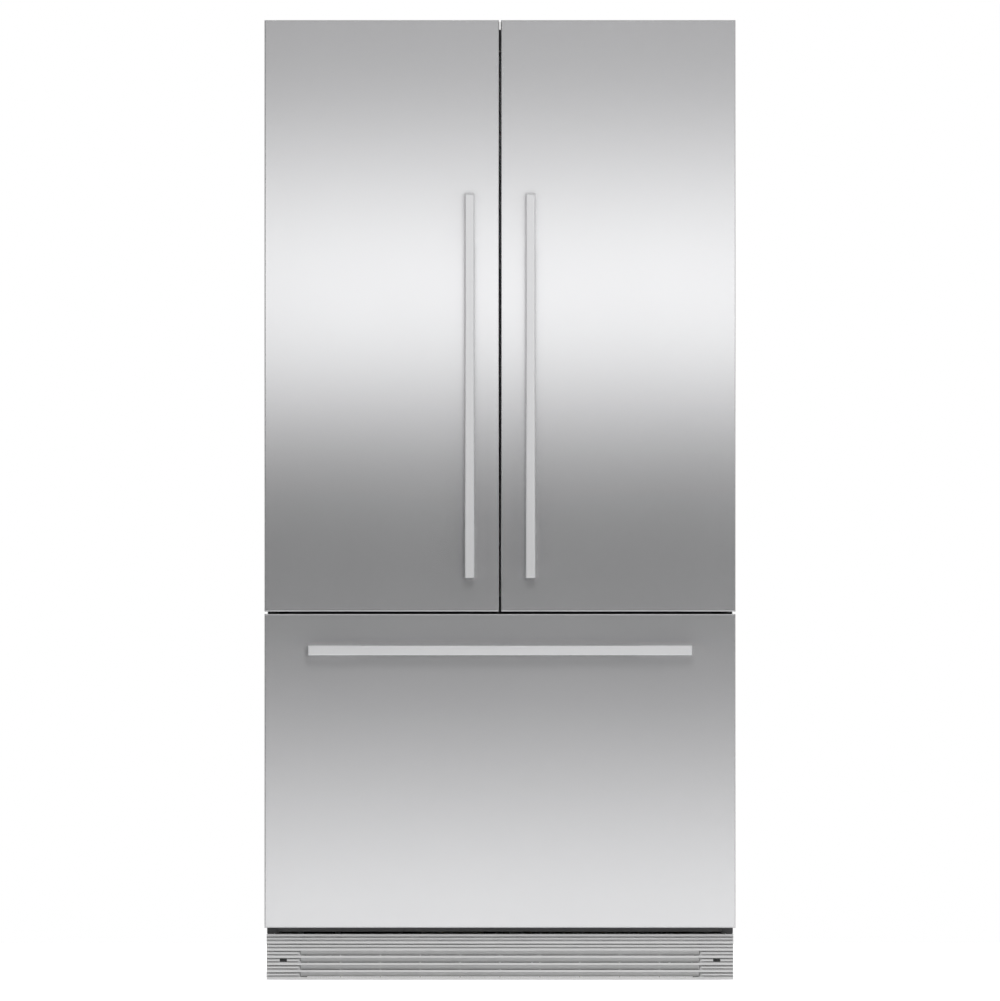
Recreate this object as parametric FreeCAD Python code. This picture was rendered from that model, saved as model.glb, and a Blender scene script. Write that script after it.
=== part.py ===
"""Built-in french door refrigerator: two hinged doors over one pull-out freezer drawer.

Row frame: +X to the right of a person facing the doors, +Y to the back, +Z up.
The origin is on the floor, in the middle of the width and of the whole depth. Millimetres.
"""
import FreeCAD, Part
import math
import os
from FreeCAD import Vector

# ---------------------------------------------------------------- driving dimensions
WIDTH = 896.0             # over the door panels
HEIGHT = 1828.0           # floor to the top edge of the door panels
DEPTH = 655.0             # front of the handles to the back sheet
HANDLE_DEPTH = 45.0       # handle front to panel front
PANEL_T = 20.0            # stainless panel with its backing board
DOOR_T = 45.0             # insulated door behind the panel
DOOR_STAND_OFF = 9.0      # door back to cabinet front, where the gasket sits
GASKET_T = 8.2
SHEET = 1.0               # cabinet steel
SKIN = 1.2                # stainless panel skin
LINER = 2.0               # formed plastic liner
TUB_WALL = 3.0            # moulded bins and drawers

DOOR_GAP = 4.0            # between the two door panels
CABINET_HALF = 443.0
INNER_HALF = 400.0        # inside of the liners
BODY_HALF = 441.0         # insulated door and drawer bodies
GRILLE_HALF = 444.5

# heights
DRAWER_BOTTOM = 101.0
DRAWER_TOP = 698.0
DOOR_BOTTOM = 702.6
CABINET_TOP = 1812.0
BASE_BOTTOM = 12.0
FREEZER_FLOOR = 135.0
FREEZER_ROOF = 668.0
FRESH_FLOOR = 733.0
FRESH_ROOF = 1770.0
HUMP_TOP = 292.0          # freezer floor over the machine room
HUMP_Y = 80.0             # freezer back wall below the hump
MACHINE_TOP = 250.0
MACHINE_Y = 120.0

# depths, from the handle front to the back sheet
Y_HANDLE = -DEPTH / 2
Y_PANEL = Y_HANDLE + HANDLE_DEPTH
Y_DOOR = Y_PANEL + PANEL_T
Y_DOOR_BACK = Y_DOOR + DOOR_T
Y_CABINET = Y_DOOR_BACK + DOOR_STAND_OFF
Y_BACK = DEPTH / 2
Y_SHEET = Y_BACK - 4.0    # back sheet, set in from the back edge of the sides
Y_LINER_BACK = Y_BACK - 55.0

PANEL_HALF = WIDTH / 2
PANEL_EDGE = DOOR_GAP / 2
DOOR_BODY_EDGE = 12.0     # door body to the centre line
DOOR_BODY_BOTTOM = 709.0
DOOR_BODY_TOP = 1807.0
CAP_H = 18.0              # moulded end cap of a door
DRAWER_BODY_BOTTOM = 112.0
DRAWER_BODY_TOP = 690.0

# hinges
HINGE_X = 430.0
HINGE_Y = Y_DOOR + 18.0
PIN_R = 4.0
BUSH_R = 4.08
FAN_SHAFT_R = 3.0
FAN_BORE_R = 3.06
NOSE_R = 8.0
MID_PLATE_Z = 699.6

# handles: one bar with a long foot at each end
HANDLE_L = 730.0
HANDLE_W = 18.0
HANDLE_BAR_T = 13.0
HANDLE_EDGE_R = 2.5
HANDLE_FOOT_L = 99.0
DOOR_HANDLE_X = 58.0
DOOR_HANDLE_Z = 1132.0
DRAWER_HANDLE_Z = 629.0

# flip mullion on the left door, folded back at rest
MULLION_X = -22.0
MULLION_Y = Y_CABINET + 10.0
MULLION_W = 48.0
MULLION_T = 16.0
MULLION_BOTTOM = 742.0
MULLION_TOP = 1756.0
MULLION_PIN_R = 3.0

# shelves and drawers
SHELF_Z = (1154.0, 1362.0, 1570.0)
CRISPER_COVER_Z = 941.0
GLASS_T = 4.0
GLASS_HALF = 396.0
SHELF_FRONT = -115.0
SHELF_BACK = 246.0
CRISPER_COVER_FRONT = -100.0
CRISPER_IN = 30.0
CRISPER_OUT = 392.0
CRISPER_FRONT = -100.0
CRISPER_BACK = 240.0
CRISPER_BOTTOM = 737.0
CRISPER_TOP = 932.0
BIN_Z = (960.0, 1230.0, 1500.0)
BIN_H = 105.0
BIN_BACK = -130.0

# dyke: the raised ring on a door liner that carries the bins
DYKE_OUT = 385.0
DYKE_IN = 40.0
DYKE_W = 14.0
DYKE_DEPTH = 16.0
HOOK_W = 8.0
HOOK_Z = 60.0             # top of the bin peg above the bin's floor
PEG_Y = Y_DOOR_BACK + 3.5
LID_Y = -207.0
LID_Z = BIN_Z[2] + BIN_H + 31.0
LID_PIN_R = 2.0

# freezer slides
SLIDE_Z = 438.5
SLIDE_HALF = 22.5
SLIDE_PLAY = 0.1
RAIL_T = 1.5
SLIDE_FRONT = -205.0
SLIDE_BACK = 195.0
RIM_Z = 452.0             # basket rim, which the freezer tray slides on

# toe grille
RIB_PITCH = 13.65
RIB_FIRST_Z = 3.8
RIB_COUNT = 7
RIB_H = 4.6
OPEN_ROWS = 4             # louvred gaps, counted from the floor
OPEN_HALF = 380.0
SLOT_PITCH = 76.0
GRILLE_FRONT = -246.0
GRILLE_BACK = -233.0
GRILLE_SCREW_X = 413.0
GRILLE_SCREW_Z = RIB_FIRST_Z + 2.5 * RIB_PITCH
SCREW_R = 2.2

# base
BASE_T = 2.0
BASE_BACK = 321.0
FOOT_X = 390.0
FOOT_Y = -170.0
FOOT_R = 22.0
STUD_R = 6.0
ROLLER_X = 385.0
ROLLER_Y = 295.0
ROLLER_R = 20.0
INLET = (-350.0, 75.0)    # x and z of the power inlet
COMPRESSOR_X = -230.0
COMPRESSOR_Y = 212.0
COMPRESSOR_R = 78.0
CONDENSER_FAN = (-20.0, 208.0, 106.0)
FREEZER_FAN = (0.0, 241.0, 590.0)

OUT = "parts"


# ---------------------------------------------------------------- helpers
def box(x0, x1, y0, y1, z0, z1):
    """A box between two corners."""
    return Part.makeBox(x1 - x0, y1 - y0, z1 - z0, Vector(x0, y0, z0))


def rod(r, length, base, axis):
    return Part.makeCylinder(r, length, Vector(*base), Vector(*axis))


def fuse(shapes):
    """One solid from shapes that touch or overlap."""
    first, rest = shapes[0], shapes[1:]
    return first.multiFuse(rest).removeSplitter() if rest else first


def mirror_x(shape):
    return shape.mirror(Vector(0, 0, 0), Vector(1, 0, 0))


def both_sides(shape):
    return [shape, mirror_x(shape)]


def prism_x(points, x0, x1):
    """Extrudes a closed (y, z) outline along X."""
    wire = Part.makePolygon([Vector(x0, y, z) for y, z in points + points[:1]])
    return Part.Face(wire).extrude(Vector(x1 - x0, 0, 0))


def prism_y(points, y0, y1):
    """Extrudes a closed (x, z) outline along Y."""
    wire = Part.makePolygon([Vector(x, y0, z) for x, z in points + points[:1]])
    return Part.Face(wire).extrude(Vector(0, y1 - y0, 0))


def prism_z(points, z0, z1):
    """Extrudes a closed (x, y) outline along Z."""
    wire = Part.makePolygon([Vector(x, y, z0) for x, y in points + points[:1]])
    return Part.Face(wire).extrude(Vector(0, 0, z1 - z0))


def round_edges(shape, radius, wanted):
    """Fillets the edges whose two end points both pass the test."""
    edges = [e for e in shape.Edges if all(wanted(v.Point) for v in e.Vertexes)]
    return shape.makeFillet(radius, edges)


def tub(x0, x1, y0, y1, z0, z1, wall):
    """An open-topped moulded tub."""
    inside = box(x0 + wall, x1 - wall, y0 + wall, y1 - wall, z0 + wall, z1 + wall)
    return box(x0, x1, y0, y1, z0, z1).cut(inside)


def ring_y(x0, x1, y0, y1, z0, z1, width):
    """A rectangular ring that lies in the XZ plane."""
    inside = box(x0 + width, x1 - width, y0 - 1, y1 + 1, z0 + width, z1 - width)
    return box(x0, x1, y0, y1, z0, z1).cut(inside)


def save(name, shapes):
    """Writes one node, from one solid or several separate ones."""
    shapes = shapes if isinstance(shapes, list) else [shapes]
    solids = [s for shape in shapes for s in shape.Solids]
    for s in solids:
        if not s.isValid() or s.Volume <= 0:
            raise RuntimeError(f"{name} has a bad solid")
    whole = solids[0] if len(solids) == 1 else Part.makeCompound(solids)
    whole.exportStep(os.path.join(OUT, name + ".step"))
    print(f"{name}: {len(solids)} solid(s), {whole.Volume / 1000:.0f} cm3")


# ---------------------------------------------------------------- cabinet
def cabinet_wrap():
    """Painted steel sides and top, with the front flange that the gaskets seal on."""
    side = box(CABINET_HALF - SHEET, CABINET_HALF, Y_CABINET, Y_BACK, BASE_BOTTOM, CABINET_TOP)
    top = box(-CABINET_HALF, CABINET_HALF, Y_CABINET, Y_BACK, CABINET_TOP - SHEET, CABINET_TOP)
    flange = box(INNER_HALF + LINER, CABINET_HALF, Y_CABINET, Y_CABINET + SHEET,
                 100, CABINET_TOP)
    head = box(-CABINET_HALF, CABINET_HALF, Y_CABINET, Y_CABINET + SHEET,
               FRESH_ROOF + LINER, CABINET_TOP)
    return fuse([top, head] + both_sides(side) + both_sides(flange))


def cabinet_back():
    """Back sheet above the machine room, between the sides of the wrap."""
    half = CABINET_HALF - SHEET
    return box(-half, half, Y_SHEET - SHEET, Y_SHEET, MACHINE_TOP, CABINET_TOP - SHEET)


def wall_insulation():
    """Foam slabs between the wrap and the liners, one per wall."""
    front = Y_CABINET + SHEET
    back = Y_SHEET - SHEET
    inner = INNER_HALF + LINER
    outer = CABINET_HALF - SHEET
    slabs = both_sides(box(inner, outer, front, back, 100, CABINET_TOP - SHEET))
    slabs += [
        box(-inner, inner, front, back, FRESH_ROOF + LINER, CABINET_TOP - SHEET),
        box(-inner, inner, Y_LINER_BACK + LINER, back, HUMP_TOP - LINER, FRESH_ROOF + LINER),
        box(-inner, inner, front + 0.2, Y_LINER_BACK + LINER,
            FREEZER_ROOF + LINER, FRESH_FLOOR - LINER),
        box(-inner, inner, front, HUMP_Y + LINER, 100, FREEZER_FLOOR - LINER),
        box(-inner, inner, HUMP_Y + LINER, MACHINE_Y - LINER, 100, HUMP_TOP - LINER),
        box(-inner, inner, MACHINE_Y - LINER, back, MACHINE_TOP, HUMP_TOP - LINER),
    ]
    return slabs


def fresh_food_liner():
    """White formed liner with moulded ledges for the shelves and runners for the crispers."""
    shell = box(-INNER_HALF - LINER, INNER_HALF + LINER, Y_CABINET, Y_LINER_BACK + LINER,
                FRESH_FLOOR - LINER, FRESH_ROOF + LINER)
    inside = box(-INNER_HALF, INNER_HALF, Y_CABINET - 1, Y_LINER_BACK, FRESH_FLOOR, FRESH_ROOF)
    shell = shell.cut(inside)
    ledges = []
    for z in SHELF_Z + (CRISPER_COVER_Z,):
        front = SHELF_FRONT if z != CRISPER_COVER_Z else CRISPER_COVER_FRONT
        ledges += both_sides(box(392, INNER_HALF + 1, front, SHELF_BACK, z - 6, z))
    for x in (60, 350):
        ledges += both_sides(box(x, x + 10, -90, 240, FRESH_FLOOR - 1, CRISPER_BOTTOM - 0.1))
    return fuse([shell] + ledges)


def freezer_liner():
    """White liner of the freezer, stepped over the machine room."""
    grow = LINER
    outside = fuse([
        box(-INNER_HALF - grow, INNER_HALF + grow, Y_CABINET, HUMP_Y + grow,
            FREEZER_FLOOR - grow, FREEZER_ROOF + grow),
        box(-INNER_HALF - grow, INNER_HALF + grow, Y_CABINET, Y_LINER_BACK + grow,
            HUMP_TOP - grow, FREEZER_ROOF + grow),
    ])
    inside = fuse([
        box(-INNER_HALF, INNER_HALF, Y_CABINET - 1, HUMP_Y, FREEZER_FLOOR, FREEZER_ROOF),
        box(-INNER_HALF, INNER_HALF, Y_CABINET - 1, Y_LINER_BACK, HUMP_TOP, FREEZER_ROOF),
    ])
    return outside.cut(inside)


def centre_rail():
    """Dark cross rail between the two compartments."""
    return box(-INNER_HALF - LINER, INNER_HALF + LINER, Y_CABINET, Y_CABINET + 1.2,
               FREEZER_ROOF + LINER, FRESH_FLOOR - LINER)


def bottom_rail():
    """Dark channel under the drawer with end blocks, and an upstand behind it."""
    lip = [(Y_CABINET, 92), (-230, 92), (-230, 106), (Y_CABINET, 106),
           (Y_CABINET, 104), (-228, 104), (-228, 94), (Y_CABINET, 94)]
    channel = prism_x(lip, -422, 422)
    sill = box(-INNER_HALF - LINER, INNER_HALF + LINER, Y_CABINET, Y_CABINET + SHEET,
               92, FREEZER_FLOOR - LINER)
    ends = both_sides(box(420, 444, -222, Y_CABINET, 88.5, 106))
    return fuse([channel, sill] + ends)


def base_frame():
    """Galvanised base pan with side rails, roller ears and the grille's two tabs."""
    plate = box(-440, 440, -205, BASE_BACK, BASE_BOTTOM, BASE_BOTTOM + BASE_T)
    rails = both_sides(box(438, 440, -205, BASE_BACK, BASE_BOTTOM, 99))
    tabs = both_sides(box(403, 423, GRILLE_BACK, GRILLE_BACK + 2, BASE_BOTTOM, 60))
    tab_feet = both_sides(box(403, 423, GRILLE_BACK, -204, BASE_BOTTOM, BASE_BOTTOM + BASE_T))
    ears = []
    for x in (ROLLER_X - 14, ROLLER_X + 12):
        ears += both_sides(box(x, x + 2, ROLLER_Y - 12, ROLLER_Y + 12, BASE_BOTTOM, 32))
    frame = fuse([plate] + rails + tabs + tab_feet + ears)
    windows = both_sides(box(ROLLER_X - 11.5, ROLLER_X + 11.5, ROLLER_Y - 24, ROLLER_Y + 24,
                             BASE_BOTTOM - 1, BASE_BOTTOM + 3))
    axle = [rod(BUSH_R, 820, (-410, ROLLER_Y, ROLLER_R), (1, 0, 0))]
    studs = both_sides(rod(STUD_R, 10, (FOOT_X, FOOT_Y, BASE_BOTTOM - 4), (0, 0, 1)))
    screws = both_sides(rod(SCREW_R, 10, (GRILLE_SCREW_X, -235, GRILLE_SCREW_Z), (0, 1, 0)))
    return frame.cut(Part.makeCompound(windows + axle + studs + screws))


def front_feet():
    """Levelling feet: pad, threaded stud and the nut that carries the base pan."""
    pad = rod(FOOT_R, 6, (FOOT_X, FOOT_Y, 0), (0, 0, 1))
    stud = rod(STUD_R, 60, (FOOT_X, FOOT_Y, 5), (0, 0, 1))
    collar = rod(12, 6, (FOOT_X, FOOT_Y, BASE_BOTTOM - 6), (0, 0, 1))
    nut = rod(10, 8, (FOOT_X, FOOT_Y, BASE_BOTTOM + BASE_T), (0, 0, 1))
    return both_sides(fuse([pad, stud, collar, nut]))


def rear_rollers():
    """Two wheels on one axle across the back of the base."""
    axle = rod(PIN_R, 810, (-405, ROLLER_Y, ROLLER_R), (1, 0, 0))
    wheels = both_sides(rod(ROLLER_R, 18, (ROLLER_X - 9, ROLLER_Y, ROLLER_R), (1, 0, 0)))
    return fuse([axle] + wheels)


# ---------------------------------------------------------------- toe grille
def rib_profile(z):
    """Front rib of the grille: upright nose with a sloping top."""
    low = RIB_H / 2
    return [(GRILLE_BACK - 2.5, z - low), (GRILLE_FRONT + 1, z - low),
            (GRILLE_FRONT, z - low + 1), (GRILLE_FRONT, z + 0.6),
            (GRILLE_FRONT + 3, z + low), (GRILLE_BACK - 2.5, z + low)]


def blade_profile(z):
    """Louvre blade that slopes down and back from the rib at this height."""
    low = RIB_H / 2
    return [(GRILLE_FRONT + 3, z - low + 0.5), (GRILLE_BACK - 1, z - 10),
            (GRILLE_BACK - 1, z - 7.8), (GRILLE_FRONT + 5.5, z - low + 1.5)]


def toe_grille():
    """Kick plate: the lower gaps are louvred air slots, and the ends and top are closed."""
    top = RIB_FIRST_Z + (RIB_COUNT - 1) * RIB_PITCH + RIB_H / 2
    plate = box(-GRILLE_HALF, GRILLE_HALF, GRILLE_BACK - 3, GRILLE_BACK, 1.5, top)
    ribs = []
    for k in range(RIB_COUNT):
        z = RIB_FIRST_Z + k * RIB_PITCH
        ribs.append(prism_x(rib_profile(z), -GRILLE_HALF, GRILLE_HALF))
    slots = []
    for k in range(RIB_COUNT - 1):
        z = RIB_FIRST_Z + (k + 0.5) * RIB_PITCH
        ridge = (GRILLE_FRONT + 4, GRILLE_BACK - 2, z - 1.8, z + 1.8)
        if k >= OPEN_ROWS:
            ribs.append(box(-GRILLE_HALF, GRILLE_HALF, *ridge))
            continue
        ribs += both_sides(box(OPEN_HALF + 4, GRILLE_HALF, *ridge))
        ribs.append(prism_x(blade_profile(z + RIB_PITCH / 2), -OPEN_HALF - 1, OPEN_HALF + 1))
        for n in range(11):
            x = -OPEN_HALF + n * SLOT_PITCH
            ribs.append(box(x - 2, x + 2, GRILLE_FRONT + 1.5, GRILLE_BACK - 1, z - 5, z + 5))
        for n in range(10):
            x = -OPEN_HALF + n * SLOT_PITCH
            slots.append(box(x + 2, x + SLOT_PITCH - 2, GRILLE_BACK - 4, GRILLE_BACK + 1,
                             z - 4.5, z + 4.5))
    body = fuse([plate.cut(Part.makeCompound(slots))] + ribs)
    pockets = []
    for side in (-1, 1):
        x = side * GRILLE_SCREW_X
        pockets.append(box(x - 7, x + 7, GRILLE_FRONT - 1, GRILLE_BACK - 3,
                           GRILLE_SCREW_Z - 3.2, GRILLE_SCREW_Z + 3.2))
        pockets.append(rod(SCREW_R, 30, (x, GRILLE_FRONT, GRILLE_SCREW_Z), (0, 1, 0)))
    return body.cut(Part.makeCompound(pockets))


def grille_screws():
    """Pan-head screws that hold the grille to the base tabs."""
    y = GRILLE_BACK - 3
    shank = rod(SCREW_R, 12, (GRILLE_SCREW_X, y, GRILLE_SCREW_Z), (0, 1, 0))
    head = rod(3.1, 2.2, (GRILLE_SCREW_X, y - 2.2, GRILLE_SCREW_Z), (0, 1, 0))
    return both_sides(fuse([shank, head]))


# ---------------------------------------------------------------- machine room
def machine_room_cover():
    """Rear cover with rows of vent slots and a window for the power inlet."""
    cover = box(-437, 437, Y_SHEET - SHEET, Y_SHEET, BASE_BOTTOM + 3, MACHINE_TOP)
    x, z = INLET
    cuts = [box(x - 26, x + 26, Y_SHEET - 2, Y_SHEET + 1, z - 16, z + 16)]
    for row in range(6):
        for n in range(8):
            left = -270 + n * 70
            low = 80 + row * 22
            cuts.append(box(left, left + 56, Y_SHEET - 2, Y_SHEET + 1, low, low + 7))
    return cover.cut(Part.makeCompound(cuts))


def power_inlet():
    """Moulded appliance inlet with three blades in a recess that opens to the back."""
    x, z = INLET
    mouth = Y_SHEET + 2
    body = box(x - 25, x + 25, mouth - 32, mouth, z - 15, z + 15)
    flange = box(x - 30, x + 30, Y_SHEET - 4, Y_SHEET - SHEET, z - 20, z + 20)
    recess = box(x - 20, x + 20, mouth - 22, mouth + 1, z - 10, z + 10)
    blades = [box(x + dx - 2.5, x + dx + 2.5, mouth - 23, mouth - 6, z + dz - 1, z + dz + 1)
              for dx, dz in ((-11, -3), (11, -3), (0, 4))]
    return fuse([fuse([body, flange]).cut(recess)] + blades)


def compressor():
    """Hermetic compressor can on its mounting plate."""
    x, y = COMPRESSOR_X, COMPRESSOR_Y
    can = rod(COMPRESSOR_R, 165, (x, y, 44), (0, 0, 1))
    can = can.makeFillet(34, [e for e in can.Edges if len(e.Vertexes) == 1])
    seam = rod(COMPRESSOR_R + 3, 8, (x, y, 122), (0, 0, 1))
    plate = box(x - 95, x + 95, y - 75, y + 75, 34, 37)
    boss = rod(50, 20, (x, y, 34), (0, 0, 1))
    stubs = [rod(4, 40, (x + 60, y - 20 + 20 * k, 100 + 20 * k), (1, 0, 0)) for k in range(3)]
    return fuse([can, seam, plate, boss] + stubs)


def compressor_mounts():
    """Rubber grommets between the compressor plate and the base pan."""
    floor = BASE_BOTTOM + BASE_T
    return [rod(12, 34 - floor, (COMPRESSOR_X + dx, COMPRESSOR_Y + dy, floor), (0, 0, 1))
            for dx in (-80, 80) for dy in (-60, 60)]


def condenser():
    """Finned condenser block with return bends at one end."""
    fins = [box(60, 330, 178, 238, 34, 36), box(60, 330, 178, 238, 176, 178)]
    fins += [box(60 + 9 * n, 61.5 + 9 * n, 178, 238, 34, 178) for n in range(31)]
    tubes = [rod(4.5, 300, (50, y, z), (1, 0, 0))
             for y in (193, 223) for z in (54, 82, 110, 138, 166)]
    legs = [box(60, 64, 178, 238, 14, 36), box(326, 330, 178, 238, 14, 36)]
    return fuse(fins + tubes + legs)


def drain_pan():
    """Evaporation pan beside the compressor."""
    pan = tub(60, 330, 252, 316, 26, 56, 2.5)
    legs = [box(x, x + 8, y, y + 8, BASE_BOTTOM + BASE_T, 27)
            for x in (64, 318) for y in (256, 308)]
    return fuse([pan] + legs)


def fan(hub_r, tip_r, depth, blades, hub_depth):
    """A fan that spins about Z, centred on the origin."""
    hub = rod(hub_r, hub_depth, (0, 0, -hub_depth / 2), (0, 0, 1))
    parts = [hub]
    for n in range(blades):
        blade = box(hub_r - 2, tip_r, -depth * 0.55, depth * 0.55, -1, 1)
        blade.rotate(Vector(0, 0, 0), Vector(1, 0, 0), 35)
        blade.rotate(Vector(0, 0, 0), Vector(0, 0, 1), 360.0 / blades * n)
        parts.append(blade)
    return fuse(parts)


def condenser_fan():
    """Draws air through the toe grille; spins about X."""
    x, y, z = CONDENSER_FAN
    wheel = fan(18, 66, 34, 7, 22)
    wheel.rotate(Vector(0, 0, 0), Vector(0, 1, 0), 90)
    wheel.translate(Vector(x, y, z))
    return wheel.cut(rod(BUSH_R, 60, (x - 30, y, z), (1, 0, 0)))


def evaporator_fan():
    """Blows cold air forward; spins about Y."""
    x, y, z = FREEZER_FAN
    wheel = fan(13, 44, 24, 5, 16)
    wheel.rotate(Vector(0, 0, 0), Vector(1, 0, 0), 90)
    wheel.translate(Vector(x, y, z))
    return wheel.cut(rod(FAN_BORE_R, 40, (x, y - 16, z), (0, 1, 0)))


def fan_motors():
    """Motors with their shafts: one on a post in the machine room, one on the freezer wall."""
    x, y, z = CONDENSER_FAN
    shaft = rod(PIN_R, 34, (x - 14, y, z), (1, 0, 0))
    can = rod(24, 26, (x + 20, y, z), (1, 0, 0))
    post = box(x + 26, x + 38, y - 8, y + 8, BASE_BOTTOM + BASE_T, z - 20)
    foot = box(x + 16, x + 60, y - 18, y + 18, BASE_BOTTOM + BASE_T, BASE_BOTTOM + BASE_T + 2)
    lower = fuse([shaft, can, post, foot])
    x, y, z = FREEZER_FAN
    shaft = rod(FAN_SHAFT_R, 20, (x, y - 7, z), (0, 1, 0))
    can = rod(20, 12, (x, y + 11, z), (0, 1, 0))
    bracket = box(x - 70, x + 70, y + 20, y + 23, z - 8, z + 8)
    feet = both_sides(box(58, 70, y + 20, Y_LINER_BACK, z - 8, z + 8))
    upper = fuse([shaft, can, bracket] + feet)
    return [lower, upper]


def evaporator():
    """Finned evaporator coil behind the freezer's back panel."""
    fins = [box(-320, 320, 236, 266, z, z + 1.2) for z in (310, 520)]
    fins += [box(-320 + 16 * n, -318.8 + 16 * n, 236, 266, 310, 521) for n in range(41)]
    tubes = [rod(4, 670, (-335, y, z), (1, 0, 0))
             for y in (244, 258) for z in (330, 370, 410, 450, 490)]
    return fuse(fins + tubes)


def evaporator_cover():
    """Back panel of the freezer, with a barred fan outlet and return slots."""
    panel = box(-394, 394, 226, 229, HUMP_TOP + 4, FREEZER_ROOF - 4)
    cuts = []
    for k in range(-3, 4):
        reach = math.sqrt(46 ** 2 - (12 * k) ** 2)
        z = FREEZER_FAN[2] + 12 * k
        cuts.append(box(-reach, reach, 225, 230, z - 4, z + 4))
    for n in range(12):
        x = -330 + 56 * n
        cuts.append(box(x, x + 40, 225, 230, 306, 314))
    lugs = [box(x - 6, x + 6, 229, Y_LINER_BACK, z - 6, z + 6)
            for x in (-370, 370) for z in (320, 640)]
    return fuse([panel.cut(Part.makeCompound(cuts))] + lugs)


# ---------------------------------------------------------------- fresh food fittings
def glass_shelves():
    """The glass of the shelves and of the crisper cover."""
    sheets = [box(-GLASS_HALF, GLASS_HALF, SHELF_FRONT, SHELF_BACK - 2, z, z + GLASS_T)
              for z in SHELF_Z]
    sheets.append(box(-GLASS_HALF, GLASS_HALF, CRISPER_COVER_FRONT, SHELF_BACK - 2,
                      CRISPER_COVER_Z, CRISPER_COVER_Z + GLASS_T))
    return sheets


def shelf_trims():
    """Aluminium front rails that hold the front edge of each glass."""
    trims = []
    for z in SHELF_Z + (CRISPER_COVER_Z,):
        y = CRISPER_COVER_FRONT if z == CRISPER_COVER_Z else SHELF_FRONT
        bar = box(-GLASS_HALF, GLASS_HALF, y - 7, y, z - 7, z + 6)
        trims.append(round_edges(bar, 2.5, lambda p, front=y - 7: p.y < front + 0.1))
    return trims


def crisper_divider():
    """Hollow column between the two crispers that carries the glass lid."""
    column = box(-27, 27, -95, 244, FRESH_FLOOR, CRISPER_COVER_Z)
    return column.cut(box(-24, 24, -92, 250, FRESH_FLOOR - 1, CRISPER_COVER_Z - 3))


def crisper():
    """Right crisper: a clear drawer with a full-width pull lip."""
    drawer = tub(CRISPER_IN, CRISPER_OUT, CRISPER_FRONT, CRISPER_BACK,
                 CRISPER_BOTTOM, CRISPER_TOP, TUB_WALL)
    lip = prism_x([(CRISPER_FRONT + 1, CRISPER_TOP), (CRISPER_FRONT - 10, CRISPER_TOP),
                   (CRISPER_FRONT - 10, CRISPER_TOP - 14), (CRISPER_FRONT - 7, CRISPER_TOP - 14),
                   (CRISPER_FRONT - 7, CRISPER_TOP - 3), (CRISPER_FRONT + 1, CRISPER_TOP - 3)],
                  CRISPER_IN + 4, CRISPER_OUT - 4)
    return fuse([drawer, lip])


def air_duct_cover():
    """Raised duct on the back wall with a column of outlet slots."""
    duct = box(-110, 110, 250, Y_LINER_BACK, 960, 1740)
    duct = round_edges(duct, 12, lambda p: p.y < 251)
    hollow = box(-104, 104, 256, Y_LINER_BACK + 1, 966, 1734)
    cuts = [hollow]
    for z in (1080, 1255, 1460, 1660):
        for side in (-1, 1):
            for k in range(4):
                x = side * 58
                cuts.append(box(x - 30, x + 30, 248, 258, z + 12 * k, z + 12 * k + 5))
    return duct.cut(Part.makeCompound(cuts))


def interior_lights():
    """Lamp lenses: one under the roof and one on each side wall."""
    roof = box(-300, 300, -120, -80, FRESH_ROOF - 5, FRESH_ROOF)
    side = box(INNER_HALF - 4, INNER_HALF, -165, -140, 1200, 1700)
    return [roof] + both_sides(side)


def control_panel():
    """Touch panel under the front of the roof."""
    return prism_x([(-180, FRESH_ROOF), (-176, FRESH_ROOF - 9), (-140, FRESH_ROOF - 9),
                    (-132, FRESH_ROOF)], -120, 120)


# ---------------------------------------------------------------- hinges
def hinge_outline(x_in, x_out, y_root, y_wide, y_inner):
    """Plate outline on the right side: a narrow nose round the pin that widens to its root."""
    steps = 12
    nose = [(HINGE_X + NOSE_R * math.cos(math.pi * (1 + k / steps)),
             HINGE_Y + NOSE_R * math.sin(math.pi * (1 + k / steps))) for k in range(steps + 1)]
    return nose + [(HINGE_X + NOSE_R, y_wide), (x_out, y_wide + 4), (x_out, y_root),
                   (x_in, y_root), (x_in, y_inner), (HINGE_X - NOSE_R, y_wide)]


def top_hinges():
    """Steel plates screwed on the roof, reaching forward over the doors."""
    outline = hinge_outline(360, CABINET_HALF, -130, -212, -186)
    plate = prism_z(outline, CABINET_TOP, CABINET_TOP + 4)
    plate = plate.cut(rod(PIN_R, 10, (HINGE_X, HINGE_Y, CABINET_TOP - 3), (0, 0, 1)))
    heads = [rod(5.5, 3, (x, y, CABINET_TOP + 4), (0, 0, 1))
             for x, y in ((385, -150), (425, -150), (405, -175))]
    return both_sides(fuse([plate] + heads))


def middle_hinges():
    """Brackets on the cabinet front between doors and drawer."""
    arm = prism_z(hinge_outline(405, CABINET_HALF, Y_CABINET, -216, -211.5), MID_PLATE_Z,
                  MID_PLATE_Z + 5)
    flange = box(405, CABINET_HALF, Y_CABINET - 3, Y_CABINET, 693, 712)
    plate = fuse([arm, flange])
    plate = plate.cut(rod(PIN_R, 20, (HINGE_X, HINGE_Y, 690), (0, 0, 1)))
    return both_sides(plate)


def hinge_pins():
    """Top pins, and bottom pins with the collar that carries the door."""
    top = rod(PIN_R, 24, (HINGE_X, HINGE_Y, CABINET_TOP - 20), (0, 0, 1))
    low = rod(PIN_R, 22, (HINGE_X, HINGE_Y, MID_PLATE_Z), (0, 0, 1))
    collar = rod(7.5, DOOR_BODY_BOTTOM - MID_PLATE_Z - 5, (HINGE_X, HINGE_Y, MID_PLATE_Z + 5),
                 (0, 0, 1))
    return both_sides(top) + both_sides(fuse([low, collar]))


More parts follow.
